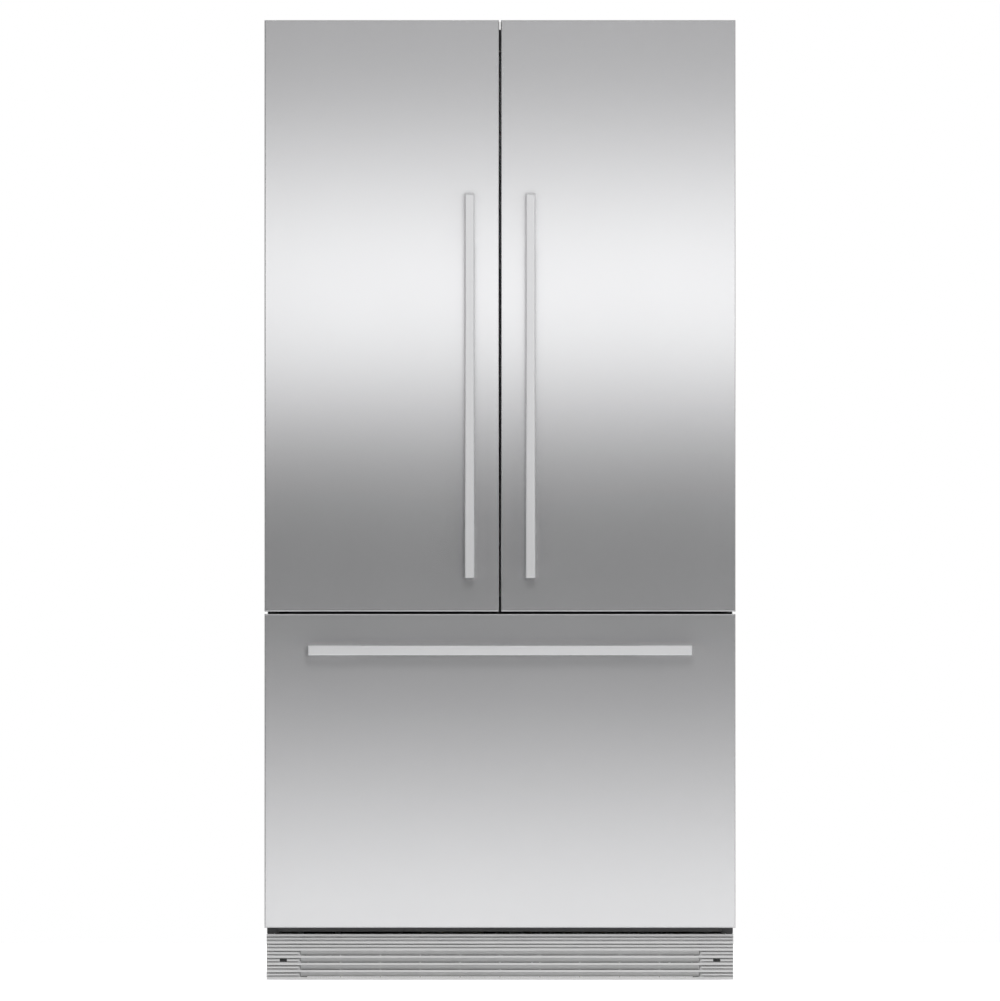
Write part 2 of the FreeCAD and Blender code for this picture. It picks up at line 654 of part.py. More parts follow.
# ---------------------------------------------------------------- panels and handles
def panel_skin(x0, x1, z0, z1):
    """Folded stainless pan: a front sheet with four returns and rounded folds."""
    pan = box(x0, x1, Y_PANEL, Y_DOOR, z0, z1)
    pan = round_edges(pan, 2.0, lambda p: p.y < Y_PANEL + 0.1)
    return pan.cut(box(x0 + SKIN, x1 - SKIN, Y_PANEL + SKIN, Y_DOOR + 1, z0 + SKIN, z1 - SKIN))


def panel_board(x0, x1, z0, z1):
    """Backing board that fills the pan."""
    return box(x0 + SKIN, x1 - SKIN, Y_PANEL + SKIN, Y_DOOR, z0 + SKIN, z1 - SKIN)


def handle_along_x():
    """Bar handle centred on X = 0 and Z = 0, cut from one billet, with a finger gap."""
    half = HANDLE_L / 2
    gap = half - HANDLE_FOOT_L
    bar = box(-half, half, Y_HANDLE, Y_PANEL, -HANDLE_W / 2, HANDLE_W / 2)
    bar = round_edges(bar, HANDLE_EDGE_R, lambda p: p.y < Y_HANDLE + 0.1)
    return bar.cut(box(-gap, gap, Y_HANDLE + HANDLE_BAR_T, Y_PANEL + 1, -HANDLE_W, HANDLE_W))


def door_handle():
    bar = handle_along_x()
    bar.rotate(Vector(0, 0, 0), Vector(0, 1, 0), 90)
    bar.translate(Vector(DOOR_HANDLE_X, 0, DOOR_HANDLE_Z))
    return bar


def drawer_handle():
    bar = handle_along_x()
    bar.translate(Vector(0, 0, DRAWER_HANDLE_Z))
    return bar


# ---------------------------------------------------------------- doors (right one, then mirrored)
def door_core():
    """Backing board of the panel and the foam of the door."""
    board = panel_board(PANEL_EDGE, PANEL_HALF, DOOR_BOTTOM, HEIGHT)
    foam = box(DOOR_BODY_EDGE + LINER, BODY_HALF - LINER, Y_DOOR, Y_DOOR_BACK - LINER,
               DOOR_BODY_BOTTOM + CAP_H, DOOR_BODY_TOP - CAP_H)
    return [board, foam]


def door_liner():
    """Inner door: a white tray with the raised dyke that the bins hang on."""
    z0, z1 = DOOR_BODY_BOTTOM + CAP_H, DOOR_BODY_TOP - CAP_H
    tray = box(DOOR_BODY_EDGE, BODY_HALF, Y_DOOR, Y_DOOR_BACK, z0, z1)
    tray = tray.cut(box(DOOR_BODY_EDGE + LINER, BODY_HALF - LINER, Y_DOOR - 1,
                        Y_DOOR_BACK - LINER, z0 - 1, z1 + 1))
    dyke = ring_y(DYKE_IN, DYKE_OUT, Y_DOOR_BACK - 1, Y_DOOR_BACK + DYKE_DEPTH, 744, 1760, DYKE_W)
    pegs = []
    for z in BIN_Z:
        for x in (DYKE_IN + DYKE_W - 1, DYKE_OUT - DYKE_W - HOOK_W + 1):
            pegs.append(box(x, x + HOOK_W, PEG_Y, PEG_Y + 9, z + 42, z + HOOK_Z))
    return fuse([tray, dyke] + pegs)


def lid_bores():
    """Blind holes in the right dyke for the dairy lid's two pins."""
    length = DYKE_OUT - DYKE_IN - 2 * DYKE_W + 12
    return rod(LID_PIN_R + 0.05, length, (DYKE_IN + DYKE_W - 6, LID_Y, LID_Z), (1, 0, 0))


def mullion_lugs():
    """Lugs on the left inner door that hold the flip mullion's two pins."""
    lugs = []
    for z0, z1 in ((MULLION_BOTTOM - 7.4, MULLION_BOTTOM - 0.6),
                   (MULLION_TOP + 0.6, MULLION_TOP + 7.4)):
        arm = box(-46, MULLION_X + 6, Y_DOOR_BACK + 10, MULLION_Y + 6, z0, z1)
        root_z = (z0, 752) if z0 < 900 else (1750, z1)
        root = box(-52, -DYKE_IN, Y_DOOR_BACK - 1, Y_DOOR_BACK + DYKE_DEPTH, *root_z)
        bore = rod(MULLION_PIN_R + 0.05, 30, (MULLION_X, MULLION_Y, z0 - 10), (0, 0, 1))
        lugs.append(fuse([arm, root]).cut(bore))
    return lugs


def door_caps():
    """Moulded end caps with the bores that turn on the hinge pins."""
    caps = []
    for z in (DOOR_BODY_BOTTOM, DOOR_BODY_TOP - CAP_H):
        cap = box(DOOR_BODY_EDGE, BODY_HALF, Y_DOOR, Y_DOOR_BACK, z, z + CAP_H)
        caps.append(cap.cut(rod(BUSH_R, 40, (HINGE_X, HINGE_Y, z - 10), (0, 0, 1))))
    return caps


def door_gasket():
    """Magnetic seal round the inner door, and the bulb seal on the meeting edge."""
    seal = ring_y(16, HINGE_X, Y_DOOR_BACK, Y_DOOR_BACK + GASKET_T, 714, 1802, 16)
    bulb = box(1.2, DOOR_BODY_EDGE, -252, -238, DOOR_BOTTOM + 1, HEIGHT - 1.5)
    return [seal, bulb]


def door_bins():
    """Clear bins whose hooks drop over the pegs inside the dyke."""
    x0 = DYKE_IN + DYKE_W + HOOK_W
    x1 = DYKE_OUT - DYKE_W - HOOK_W
    bins = []
    for z in BIN_Z:
        body = tub(x0, x1, Y_DOOR_BACK + 0.5, BIN_BACK, z, z + BIN_H, TUB_WALL)
        body = round_edges(body, 6, lambda p, z=z: p.z < z + 0.1 and p.y > BIN_BACK - 0.1)
        hooks = []
        for a, b in ((x0 - HOOK_W + 1, x0 + 1), (x1 - 1, x1 + HOOK_W - 1)):
            hooks.append(box(a, b, Y_DOOR_BACK + 0.5, PEG_Y + 9, z + HOOK_Z, z + HOOK_Z + 6))
            hooks.append(box(a, b, Y_DOOR_BACK + 0.5, PEG_Y, z + 46, z + HOOK_Z + 6))
        bins.append(fuse([body] + hooks))
    return bins


def dairy_lid():
    """Flip-up lid over the right door's top bin, turning on two pins at its back edge."""
    x0, x1 = DYKE_IN + DYKE_W + 3, DYKE_OUT - DYKE_W - 3
    z = BIN_Z[2] + BIN_H
    lid = [(LID_Y, z + 33), (-126, z + 33), (-126, z + 3), (-129, z + 3), (-129, z + 30),
           (LID_Y, z + 30)]
    barrel = rod(4, x1 - x0, (x0, LID_Y, LID_Z), (1, 0, 0))
    pins = rod(LID_PIN_R, x1 - x0 + 14, (x0 - 7, LID_Y, LID_Z), (1, 0, 0))
    return fuse([prism_x(lid, x0, x1), barrel, pins])


def flip_mullion():
    """Heated bar that closes the gap between the doors; folded back at rest."""
    x0 = MULLION_X - (MULLION_T - 10)
    bar = box(x0, x0 + MULLION_T, MULLION_Y - 2, MULLION_Y - 2 + MULLION_W,
              MULLION_BOTTOM, MULLION_TOP)
    bar = round_edges(bar, 3, lambda p: p.y > MULLION_Y)
    pins = [rod(MULLION_PIN_R, 7, (MULLION_X, MULLION_Y, z), (0, 0, 1))
            for z in (MULLION_BOTTOM - 6.5, MULLION_TOP - 0.5)]
    return fuse([bar] + pins)


# ---------------------------------------------------------------- freezer drawer
def drawer_core():
    board = panel_board(-PANEL_HALF, PANEL_HALF, DRAWER_BOTTOM, DRAWER_TOP)
    foam = box(-BODY_HALF + LINER, BODY_HALF - LINER, Y_DOOR, Y_DOOR_BACK - LINER,
               DRAWER_BODY_BOTTOM + LINER, DRAWER_BODY_TOP - LINER)
    return [board, foam]


def drawer_liner():
    """Inner face of the drawer front, with a low raised ring."""
    tray = box(-BODY_HALF, BODY_HALF, Y_DOOR, Y_DOOR_BACK, DRAWER_BODY_BOTTOM, DRAWER_BODY_TOP)
    tray = tray.cut(box(-BODY_HALF + LINER, BODY_HALF - LINER, Y_DOOR - 1, Y_DOOR_BACK - LINER,
                        DRAWER_BODY_BOTTOM + LINER, DRAWER_BODY_TOP - LINER))
    ring = ring_y(-DYKE_OUT, DYKE_OUT, Y_DOOR_BACK - 1, Y_DOOR_BACK + 12, 150, 655, DYKE_W)
    return fuse([tray, ring])


def drawer_gasket():
    return ring_y(-HINGE_X, HINGE_X, Y_DOOR_BACK, Y_DOOR_BACK + GASKET_T, 114, 688, 16)


def channel(x_web, x_open, half, wall, y0, y1):
    """A C rail along Y: its web at x_web, its lips reaching to x_open."""
    step = wall if x_open > x_web else -wall
    z = SLIDE_Z
    return prism_y([(x_web, z - half), (x_open, z - half), (x_open, z - half + wall),
                    (x_web + step, z - half + wall), (x_web + step, z + half - wall),
                    (x_open, z + half - wall), (x_open, z + half), (x_web, z + half)], y0, y1)


def cabinet_slide_rails():
    """Outer rails on the freezer walls."""
    return both_sides(channel(INNER_HALF, 388, SLIDE_HALF, RAIL_T, SLIDE_FRONT, SLIDE_BACK))


def slide_middle_rails():
    """Middle rails, which run inside the outer ones."""
    half = SLIDE_HALF - RAIL_T - SLIDE_PLAY
    return both_sides(channel(398.4, 389.8, half, RAIL_T, SLIDE_FRONT, SLIDE_BACK))


def drawer_slide_rails():
    """Inner rails, with the ledge that the basket's rim rests on."""
    half = SLIDE_HALF - 2 * (RAIL_T + SLIDE_PLAY)
    rail = channel(388, 396.8, half, RAIL_T, Y_DOOR_BACK, SLIDE_BACK)
    ledge = box(376, 389, -203, SLIDE_BACK, RIM_Z - 2, RIM_Z)
    return both_sides(fuse([rail, ledge]))


def freezer_basket():
    """Deep tub, stepped at the back to clear the machine room."""
    x = 375.0
    w = TUB_WALL
    outside = fuse([box(-x, x, -195, 62, 150, RIM_Z), box(-x, x, -195, 188, 300, RIM_Z)])
    inside = fuse([box(-x + w, x - w, -195 + w, 62 - w, 150 + w, RIM_Z + 9),
                   box(-x + w, x - w, -195 + w, 188 - w, 300 + w, RIM_Z + 9)])
    rim = box(-387, 387, -203, 193, RIM_Z, RIM_Z + 3)
    return fuse([outside, rim]).cut(inside)


def freezer_tray():
    """Shallow tray that slides back along the basket's rim."""
    body = tub(-370, 370, -188, 90, RIM_Z + 6, RIM_Z + 114, TUB_WALL)
    runner = box(369, 386, -188, 90, RIM_Z + 3.1, RIM_Z + 9)
    return fuse([body] + both_sides(runner))


# ---------------------------------------------------------------- build
def main():
    os.makedirs(OUT, exist_ok=True)
    fixed = (cabinet_wrap, cabinet_back, wall_insulation, fresh_food_liner, freezer_liner,
             centre_rail, bottom_rail, base_frame, front_feet, rear_rollers, toe_grille,
             grille_screws, machine_room_cover, power_inlet, compressor, compressor_mounts,
             condenser, drain_pan, condenser_fan, evaporator_fan, fan_motors, evaporator,
             evaporator_cover, glass_shelves, shelf_trims, crisper_divider,
             air_duct_cover, interior_lights, control_panel, top_hinges, middle_hinges,
             hinge_pins, cabinet_slide_rails, slide_middle_rails, drawer_slide_rails,
             drawer_core, drawer_liner, drawer_gasket, drawer_handle, freezer_basket,
             freezer_tray, dairy_lid, flip_mullion)
    for make in fixed:
        save(make.__name__, make())
    save("drawer_panel", panel_skin(-PANEL_HALF, PANEL_HALF, DRAWER_BOTTOM, DRAWER_TOP))
    save("right_crisper", crisper())
    save("left_crisper", mirror_x(crisper()))

    right = {"door_panel": [panel_skin(PANEL_EDGE, PANEL_HALF, DOOR_BOTTOM, HEIGHT)],
             "door_core": door_core(), "door_caps": door_caps(),
             "door_gasket": door_gasket(), "door_handle": [door_handle()],
             "door_bins": door_bins()}
    for name, solids in right.items():
        save("right_" + name, solids)
        save("left_" + name, [mirror_x(s) for s in solids])
    save("right_door_liner", door_liner().cut(lid_bores()))
    save("left_door_liner", fuse([mirror_x(door_liner())] + mullion_lugs()))


main()
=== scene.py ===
"""Built-in french door refrigerator: finishes, formed plastics, seals, grille and fasteners
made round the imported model. Metres, +X to the viewer's right, +Y to the back, +Z up."""
import bmesh
import bpy
import math
from functools import cache
from bpy.props import FloatProperty, FloatVectorProperty, IntProperty, PointerProperty
from mathutils import Euler, Matrix, Vector


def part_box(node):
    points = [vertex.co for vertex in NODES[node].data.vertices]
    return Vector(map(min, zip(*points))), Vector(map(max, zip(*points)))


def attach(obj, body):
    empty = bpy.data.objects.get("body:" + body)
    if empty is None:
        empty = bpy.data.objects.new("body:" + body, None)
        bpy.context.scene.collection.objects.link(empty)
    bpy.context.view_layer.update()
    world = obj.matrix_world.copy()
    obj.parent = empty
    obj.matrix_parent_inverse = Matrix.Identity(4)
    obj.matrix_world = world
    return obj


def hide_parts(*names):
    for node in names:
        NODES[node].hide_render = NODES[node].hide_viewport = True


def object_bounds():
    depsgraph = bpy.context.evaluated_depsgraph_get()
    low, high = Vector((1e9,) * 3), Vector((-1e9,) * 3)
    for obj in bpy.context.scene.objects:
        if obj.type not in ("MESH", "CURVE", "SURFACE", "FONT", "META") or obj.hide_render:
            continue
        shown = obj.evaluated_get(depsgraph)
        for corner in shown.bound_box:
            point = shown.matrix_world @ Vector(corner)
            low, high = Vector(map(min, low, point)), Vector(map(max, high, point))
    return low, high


bl_info = {
    "name": "French Door Refrigerator",
    "version": (1, 0, 0),
    "blender": (4, 5, 0),
    "location": "View3D > Sidebar > Refrigerator",
    "description": "Builds the finishes and fine parts of a built-in refrigerator",
    "category": "Add Mesh",
}

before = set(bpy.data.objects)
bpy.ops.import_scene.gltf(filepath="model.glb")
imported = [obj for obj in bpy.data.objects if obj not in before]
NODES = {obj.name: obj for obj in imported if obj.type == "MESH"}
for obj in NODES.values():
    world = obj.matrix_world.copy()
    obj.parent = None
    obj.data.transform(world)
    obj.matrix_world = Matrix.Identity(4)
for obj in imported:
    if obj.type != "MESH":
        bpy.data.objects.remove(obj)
CAD_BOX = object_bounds()
LOW, HIGH = CAD_BOX
PANEL_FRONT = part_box("drawer_panel")[0].y
BOTH = (("left", -1), ("right", 1))
MM = 0.001
SHARP = math.radians(40)
FACING_FRONT = math.radians(90)


# ---- settings
def length(name, default, description):
    return FloatProperty(name=name, default=default, unit="LENGTH", description=description)


def count(name, default, least, description):
    return IntProperty(name=name, default=default, min=least, description=description)


def colour(name, default, description):
    return FloatVectorProperty(name=name, subtype="COLOR", size=3, default=default, min=0, max=1,
                               description=description)


def power(name, default, description):
    return FloatProperty(name=name, default=default, description=description)


class FridgeSizes(bpy.types.PropertyGroup):
    rib_pitch: length("Grille rib pitch", 13.65 * MM, "Height from one grille rib to the next")
    rib_height: length("Grille rib height", 4.6 * MM, "Height of a grille rib's nose")
    rib_count: count("Grille ribs", 7, 2, "Ribs across the front of the grille")
    open_rows: count("Open rows", 4, 1, "Louvred gaps, counted from the floor")
    slot_pitch: length("Slot pitch", 76 * MM, "Width from one grille divider to the next")
    slot_columns: count("Slot columns", 10, 1, "Air slots along each louvred row")
    screw_radius: length("Screw head radius", 4.2 * MM, "Radius of the back sheet screws' heads")
    tub_corner: length("Tub corner", 16 * MM, "Corner radius of the moulded bins and drawers")


class FridgeColours(bpy.types.PropertyGroup):
    steel: colour("Stainless steel", (0.66, 0.66, 0.67), "Colour of the door and drawer panels")
    grille: colour("Grille", (0.52, 0.52, 0.52), "Colour of the toe grille's paint")
    cabinet: colour("Cabinet", (0.060, 0.061, 0.064), "Colour of the painted wrap")
    liner: colour("Liner", (0.80, 0.81, 0.81), "Colour of the inner walls")
    seal: colour("Seal", (0.010, 0.010, 0.011), "Colour of the door seals")


class FridgeStage(bpy.types.PropertyGroup):
    distance: length("Camera distance", 30.0, "From the camera to the door panels")
    view_height: length("View height", 1.9046, "Height of the view at the door panels")
    key_power: power("Key light", 100.0, "Power of the small light in front, a little to the right")
    upper_power: power("Upper light", 92.0, "Power of the light high in front")
    overhead_power: power("Overhead light", 70.0, "Power of the light overhead")
    rear_power: power("Rear light", 40.0, "Power of the light behind")
    reflector_strength: power("Reflector", 1.65, "Brightness of the graded reflector")


def sizes():
    return bpy.context.scene.fridge_sizes


def colours():
    return bpy.context.scene.fridge_colours


# ---- node trees
def add(tree, kind, inputs=None, **settings):
    """Adds a node, sets its properties, then sets or links its inputs."""
    made = tree.nodes.new(kind)
    for name, value in settings.items():
        setattr(made, name, value)
    for key, value in (inputs or {}).items():
        if isinstance(value, bpy.types.NodeSocket):
            tree.links.new(value, made.inputs[key])
        else:
            made.inputs[key].default_value = value
    return made


def maths(tree, operation, a, b=0.0, clamp=False):
    return add(tree, "ShaderNodeMath", {0: a, 1: b}, operation=operation,
               use_clamp=clamp).outputs[0]


def remap(tree, value, low, high, to_low, to_high):
    node = add(tree, "ShaderNodeMapRange", {"Value": value, "From Min": low, "From Max": high,
                                            "To Min": to_low, "To Max": to_high})
    return node.outputs["Result"]


def combine(tree, x=0.0, y=0.0, z=0.0):
    return add(tree, "ShaderNodeCombineXYZ", {0: x, 1: y, 2: z}).outputs[0]


def mix_colour(tree, factor, a, b):
    node = add(tree, "ShaderNodeMix", {"Factor": factor}, data_type="RGBA")
    for socket, value in ((node.inputs[6], a), (node.inputs[7], b)):
        if isinstance(value, bpy.types.NodeSocket):
            tree.links.new(value, socket)
        else:
            socket.default_value = (*value[:3], 1)
    return node.outputs[2]


def name_inputs(tree, inputs):
    """Adds inputs by their defaults: a tuple, a whole number, a number, or None for a material."""
    kinds = {tuple: "Vector", int: "Int", float: "Float", type(None): "Material"}
    for label, default in inputs.items():
        socket = tree.interface.new_socket(label, in_out="INPUT",
                                           socket_type="NodeSocket" + kinds[type(default)])
        if default is not None:
            socket.default_value = default


def ends(tree):
    return tree.nodes.new("NodeGroupInput").outputs, tree.nodes.new("NodeGroupOutput").inputs


def open_group(name, inputs, *outputs):
    """A shader group with named inputs, from their defaults, and outputs that are numbers."""
    tree = bpy.data.node_groups.new(name, "ShaderNodeTree")
    name_inputs(tree, inputs)
    for label in outputs:
        tree.interface.new_socket(label, in_out="OUTPUT", socket_type="NodeSocketFloat")
    return tree, *ends(tree)


def object_coordinates(tree):
    return add(tree, "ShaderNodeTexCoord").outputs["Object"]


def scaled_noise(tree, scale, detail=4.0, rough=0.5):
    """Noise over Object coordinates stretched by a vector."""
    moved = add(tree, "ShaderNodeVectorMath", {0: object_coordinates(tree), 1: scale},
                operation="MULTIPLY")
    return add(tree, "ShaderNodeTexNoise", {"Vector": moved.outputs[0], "Scale": 1.0,
                                            "Detail": detail, "Roughness": rough}).outputs[0]


def group_brushed():
    """Fine parallel scratches; Grain is how many per metre along each axis."""
    tree, given, out = open_group("Brushed grain", {"Grain": (3, 900, 900)}, "Tone", "Height")
    fine = scaled_noise(tree, given["Grain"], 3.0, 0.7)
    longer = add(tree, "ShaderNodeVectorMath", {0: given["Grain"], 1: (0.31, 0.83, 0.83)},
                 operation="MULTIPLY").outputs[0]
    tone = maths(tree, "ADD", maths(tree, "MULTIPLY", fine, 0.5),
                 maths(tree, "MULTIPLY", scaled_noise(tree, longer, 2.0, 0.6), 0.5))
    tree.links.new(tone, out["Tone"])
    tree.links.new(fine, out["Height"])
    return tree


def group_smudge():
    """Slow, cloudy change of gloss from wiping."""
    tree, given, out = open_group("Wiped cloud", {"Size": (4, 4, 2)}, "Mask")
    cloud = scaled_noise(tree, given["Size"], 3.0, 0.55)
    tree.links.new(remap(tree, cloud, 0.35, 0.7, 0.0, 1.0), out["Mask"])
    return tree


def group_edge_wear_and_shade():
    """A mask that rises on outer corners; it marks worn corners, and painted shade on brushed
    steel.
    """
    tree, given, out = open_group("Edge wear", {"Radius": 0.001, "Amount": 1.0}, "Mask")
    bevel = add(tree, "ShaderNodeBevel", {"Radius": given["Radius"]}, samples=3)
    normal = add(tree, "ShaderNodeNewGeometry").outputs["Normal"]
    dot = add(tree, "ShaderNodeVectorMath", {0: bevel.outputs[0], 1: normal},
              operation="DOT_PRODUCT").outputs["Value"]
    edge = remap(tree, dot, 0.98, 0.80, 0.0, 1.0)
    worn = maths(tree, "MULTIPLY", edge, scaled_noise(tree, (60, 60, 60), 4.0, 0.7))
    tree.links.new(maths(tree, "MULTIPLY", worn, given["Amount"], True), out["Mask"])
    return tree


def group_mould_texture():
    """Spark-eroded texture of moulded plastic."""
    tree, given, out = open_group("Mould texture", {"Scale": 1500.0}, "Height", "Tone")
    scale = combine(tree, given["Scale"], given["Scale"], given["Scale"])
    tree.links.new(scaled_noise(tree, scale, 2.0, 0.6), out["Height"])
    tree.links.new(scaled_noise(tree, (9, 9, 9), 3.0, 0.5), out["Tone"])
    return tree


def group_dust():
    """Dust that settles on upward faces."""
    tree, given, out = open_group("Settled dust", {"Amount": 0.5}, "Mask")
    normal = add(tree, "ShaderNodeNewGeometry").outputs["Normal"]
    up = add(tree, "ShaderNodeSeparateXYZ", {0: normal}).outputs[2]
    facing = remap(tree, up, 0.3, 0.95, 0.0, 1.0)
    cloud = remap(tree, scaled_noise(tree, (22, 22, 22), 5.0, 0.6), 0.3, 0.75, 0.2, 1.0)
    dusty = maths(tree, "MULTIPLY", facing, cloud)
    tree.links.new(maths(tree, "MULTIPLY", dusty, given["Amount"], True), out["Mask"])
    return tree


def group_spangle():
    """Crystal pattern of galvanised sheet."""
    tree, given, out = open_group("Zinc spangle", {"Scale": 90.0}, "Tone")
    cells = add(tree, "ShaderNodeTexVoronoi", {"Vector": object_coordinates(tree),
                                               "Scale": given["Scale"]})
    bright = add(tree, "ShaderNodeSeparateColor", {0: cells.outputs["Color"]}).outputs[0]
    tree.links.new(bright, out["Tone"])
    return tree


@cache
def shared_tree(maker):
    """Each tree is built once, when it is first asked for."""
    return maker()


def use_group(tree, maker, **inputs):
    """Places a shared group in a material and returns its outputs."""
    return add(tree, "ShaderNodeGroup", inputs, node_tree=shared_tree(maker)).outputs


# ---- materials
def start_material(name, **constants):
    """A new Principled material; its constants go straight on the shader's sockets."""
    material = bpy.data.materials.new(name)
    material.use_nodes = True
    tree = material.node_tree
    tree.nodes.clear()
    shader = add(tree, "ShaderNodeBsdfPrincipled",
                 {key.replace("_", " "): value for key, value in constants.items()})
    add(tree, "ShaderNodeOutputMaterial", {"Surface": shader.outputs[0]})
    return material, tree, shader.inputs


def feed(tree, sockets, base, rough, height=None, depth=0.0, strength=0.5):
    """Links a base colour, a roughness and the bump of a height, in millimetres, to a shader."""
    tree.links.new(base, sockets["Base Color"])
    tree.links.new(rough, sockets["Roughness"])
    if height:
        raised = add(tree, "ShaderNodeBump", {"Height": height, "Distance": depth * MM,
                                              "Strength": strength})
        tree.links.new(raised.outputs[0], sockets["Normal"])


def shade(tint, factor):
    return tuple(min(1.0, c * factor) for c in tint)


def toned(tree, mask, tint, low, high):
    """A tint that goes from one shade of itself to another."""
    return mix_colour(tree, mask, shade(tint, low), shade(tint, high))


def plus(tree, value, mask, share):
    """A value with a share of a mask on top."""
    return maths(tree, "ADD", value, maths(tree, "MULTIPLY", mask, share))


def corners_worn_or_shaded(tree, base, radius, amount, tint):
    """A base colour with its outer corners mixed to a tint: worn lighter on paint and plate,
    painted shade where the tint is darker, as on brushed steel.
    """
    mask = use_group(tree, group_edge_wear_and_shade, Radius=radius * MM, Amount=amount)["Mask"]
    return mix_colour(tree, mask, base, tint)


def brushed_steel(name, grain, roughness=0.27, tint=None, metal=1.0):
    """Brushed stainless steel with wiped patches and darker corners, a painted shade on its folds
    and edges.
    """
    tint = tint or tuple(colours().steel)
    material, tree, sockets = start_material(name, Metallic=metal)
    brush = use_group(tree, group_brushed, Grain=grain)
    cloud = use_group(tree, group_smudge)["Mask"]
    # Corners go to 0.9 of the tint: painted shade on the folds and bar edges.
    base = corners_worn_or_shaded(tree, toned(tree, brush["Tone"], tint, 0.99, 1.01), 1.2, 0.5, shade(tint, 0.9))
    rough = remap(tree, brush["Tone"], 0, 1, roughness - 0.008, roughness + 0.008)
    feed(tree, sockets, base, plus(tree, rough, cloud, 0.012), brush["Height"], 0.0003, 0.3)
    return material


def textured(name, texture, **constants):
    """A new material with the mould texture, its tone in patches and a height for its bump."""
    material, tree, sockets = start_material(name, **constants)
    mould = use_group(tree, group_mould_texture, Scale=texture)
    return material, tree, sockets, mould["Tone"], mould["Height"]


def dusty(tree, base, amount, tint):
    """A base colour under settled dust, and the dust's mask."""
    mask = use_group(tree, group_dust, Amount=amount)["Mask"]
    return mix_colour(tree, mask, base, tint), mask


def paint(name, tint, roughness=0.42, peel=0.03, dust=0.25):
    """Sprayed paint with orange peel, chipped-thin corners and dust on top."""
    material, tree, sockets, tone, height = textured(name, 700.0)
    base = corners_worn_or_shaded(tree, toned(tree, tone, tint, 0.93, 1.07), 0.9, 0.35, shade(tint, 1.6))
    base, dirt = dusty(tree, base, dust, (0.42, 0.40, 0.37))
    rough = remap(tree, tone, 0, 1, roughness - 0.05, roughness + 0.05)
    feed(tree, sockets, base, plus(tree, rough, dirt, 0.4), height, peel)
    return material


def plastic(name, tint, roughness=0.35, texture=1500.0, depth=0.02, **constants):
    """Moulded plastic with a fine texture and slightly uneven gloss."""
    material, tree, sockets, tone, height = textured(name, texture, **constants)
    cloud = use_group(tree, group_smudge)["Mask"]
    feed(tree, sockets, toned(tree, tone, tint, 0.96, 1.04),
         remap(tree, cloud, 0, 1, roughness - 0.04, roughness + 0.06), height, depth)
    return material


def galvanised(name):
    """Galvanised sheet with its crystal pattern and dust on top."""
    material, tree, sockets = start_material(name, Metallic=1.0)
    spangle = use_group(tree, group_spangle, Scale=70.0)["Tone"]
    cloud = use_group(tree, group_smudge)["Mask"]
    base = toned(tree, spangle, (0.52, 0.54, 0.55), 0.88, 1.10)
    feed(tree, sockets, dusty(tree, base, 0.5, (0.36, 0.34, 0.31))[0],
         plus(tree, remap(tree, spangle, 0, 1, 0.34, 0.48), cloud, 0.08), spangle, 0.01, 0.3)
    return material


def zinc_plate(name, tint=(0.62, 0.63, 0.64)):
    """Plated steel or bare aluminium with bright corners."""
    material, tree, sockets, tone, height = textured(name, 900.0, Metallic=1.0)
    base = corners_worn_or_shaded(tree, toned(tree, tone, tint, 0.85, 1.1), 0.7, 0.8, shade(tint, 1.3))
    feed(tree, sockets, base, remap(tree, tone, 0, 1, 0.26, 0.40), height, 0.008, 0.4)
    return material


def clear_plastic(name, tint=(0.93, 0.96, 0.97), roughness=0.06):
    """Clear styrene with faint haze."""
    material, tree, sockets, _, height = textured(name, 400.0, IOR=1.5,
                                                  Transmission_Weight=0.9)
    cloud = use_group(tree, group_smudge)["Mask"]
    feed(tree, sockets, mix_colour(tree, cloud, tint, shade(tint, 0.97)),
         remap(tree, cloud, 0, 1, roughness, roughness + 0.08), height, 0.01, 0.15)
    return material


def shelf_glass(name):
    """Tempered glass with a printed frosted border along its sides."""
    material, tree, sockets = start_material(name, IOR=1.5, Transmission_Weight=0.94)
    cloud = use_group(tree, group_smudge, Size=(6, 6, 6))["Mask"]
    across = add(tree, "ShaderNodeSeparateXYZ", {0: object_coordinates(tree)}).outputs[0]
    border = remap(tree, maths(tree, "ABSOLUTE", across), 0.372, 0.374, 0.0, 1.0)
    feed(tree, sockets, mix_colour(tree, border, (0.86, 0.95, 0.92), (0.90, 0.93, 0.93)),
         plus(tree, remap(tree, cloud, 0, 1, 0.02, 0.07), border, 0.5))
    return material


def rubber(name, tint, roughness=0.66):
    """Dull rubber with settled dust."""
    material, tree, sockets, tone, height = textured(name, 1200.0, Specular_IOR_Level=0.3)
    base, _ = dusty(tree, toned(tree, tone, tint, 0.8, 1.25), 0.25, (0.2, 0.19, 0.18))
    feed(tree, sockets, base, remap(tree, tone, 0, 1, roughness - 0.08, roughness + 0.08),
         height, 0.03, 0.4)
    return material


def lamp_lens(name):
    """Opal lens over a strip of small lamps."""
    material, tree, sockets, tone, _ = textured(name, 600.0, Emission_Strength=1.3, Roughness=0.3)
    dots = add(tree, "ShaderNodeTexVoronoi", {"Vector": object_coordinates(tree), "Scale": 42.0,
                                              "Randomness": 0.0}).outputs["Distance"]
    glow = mix_colour(tree, remap(tree, dots, 0.0, 0.7, 1.0, 0.0), (0.72, 0.76, 0.80),
                      (1.0, 0.99, 0.94))
    tree.links.new(glow, sockets["Emission Color"])
    tree.links.new(mix_colour(tree, tone, (0.86, 0.87, 0.86), (0.95, 0.95, 0.94)),
                   sockets["Base Color"])
    return material


BAR_TINT = (0.81, 0.81, 0.82)
ALONG_X, ALONG_Z = (37, 2000, 2000), (2000, 2000, 37)

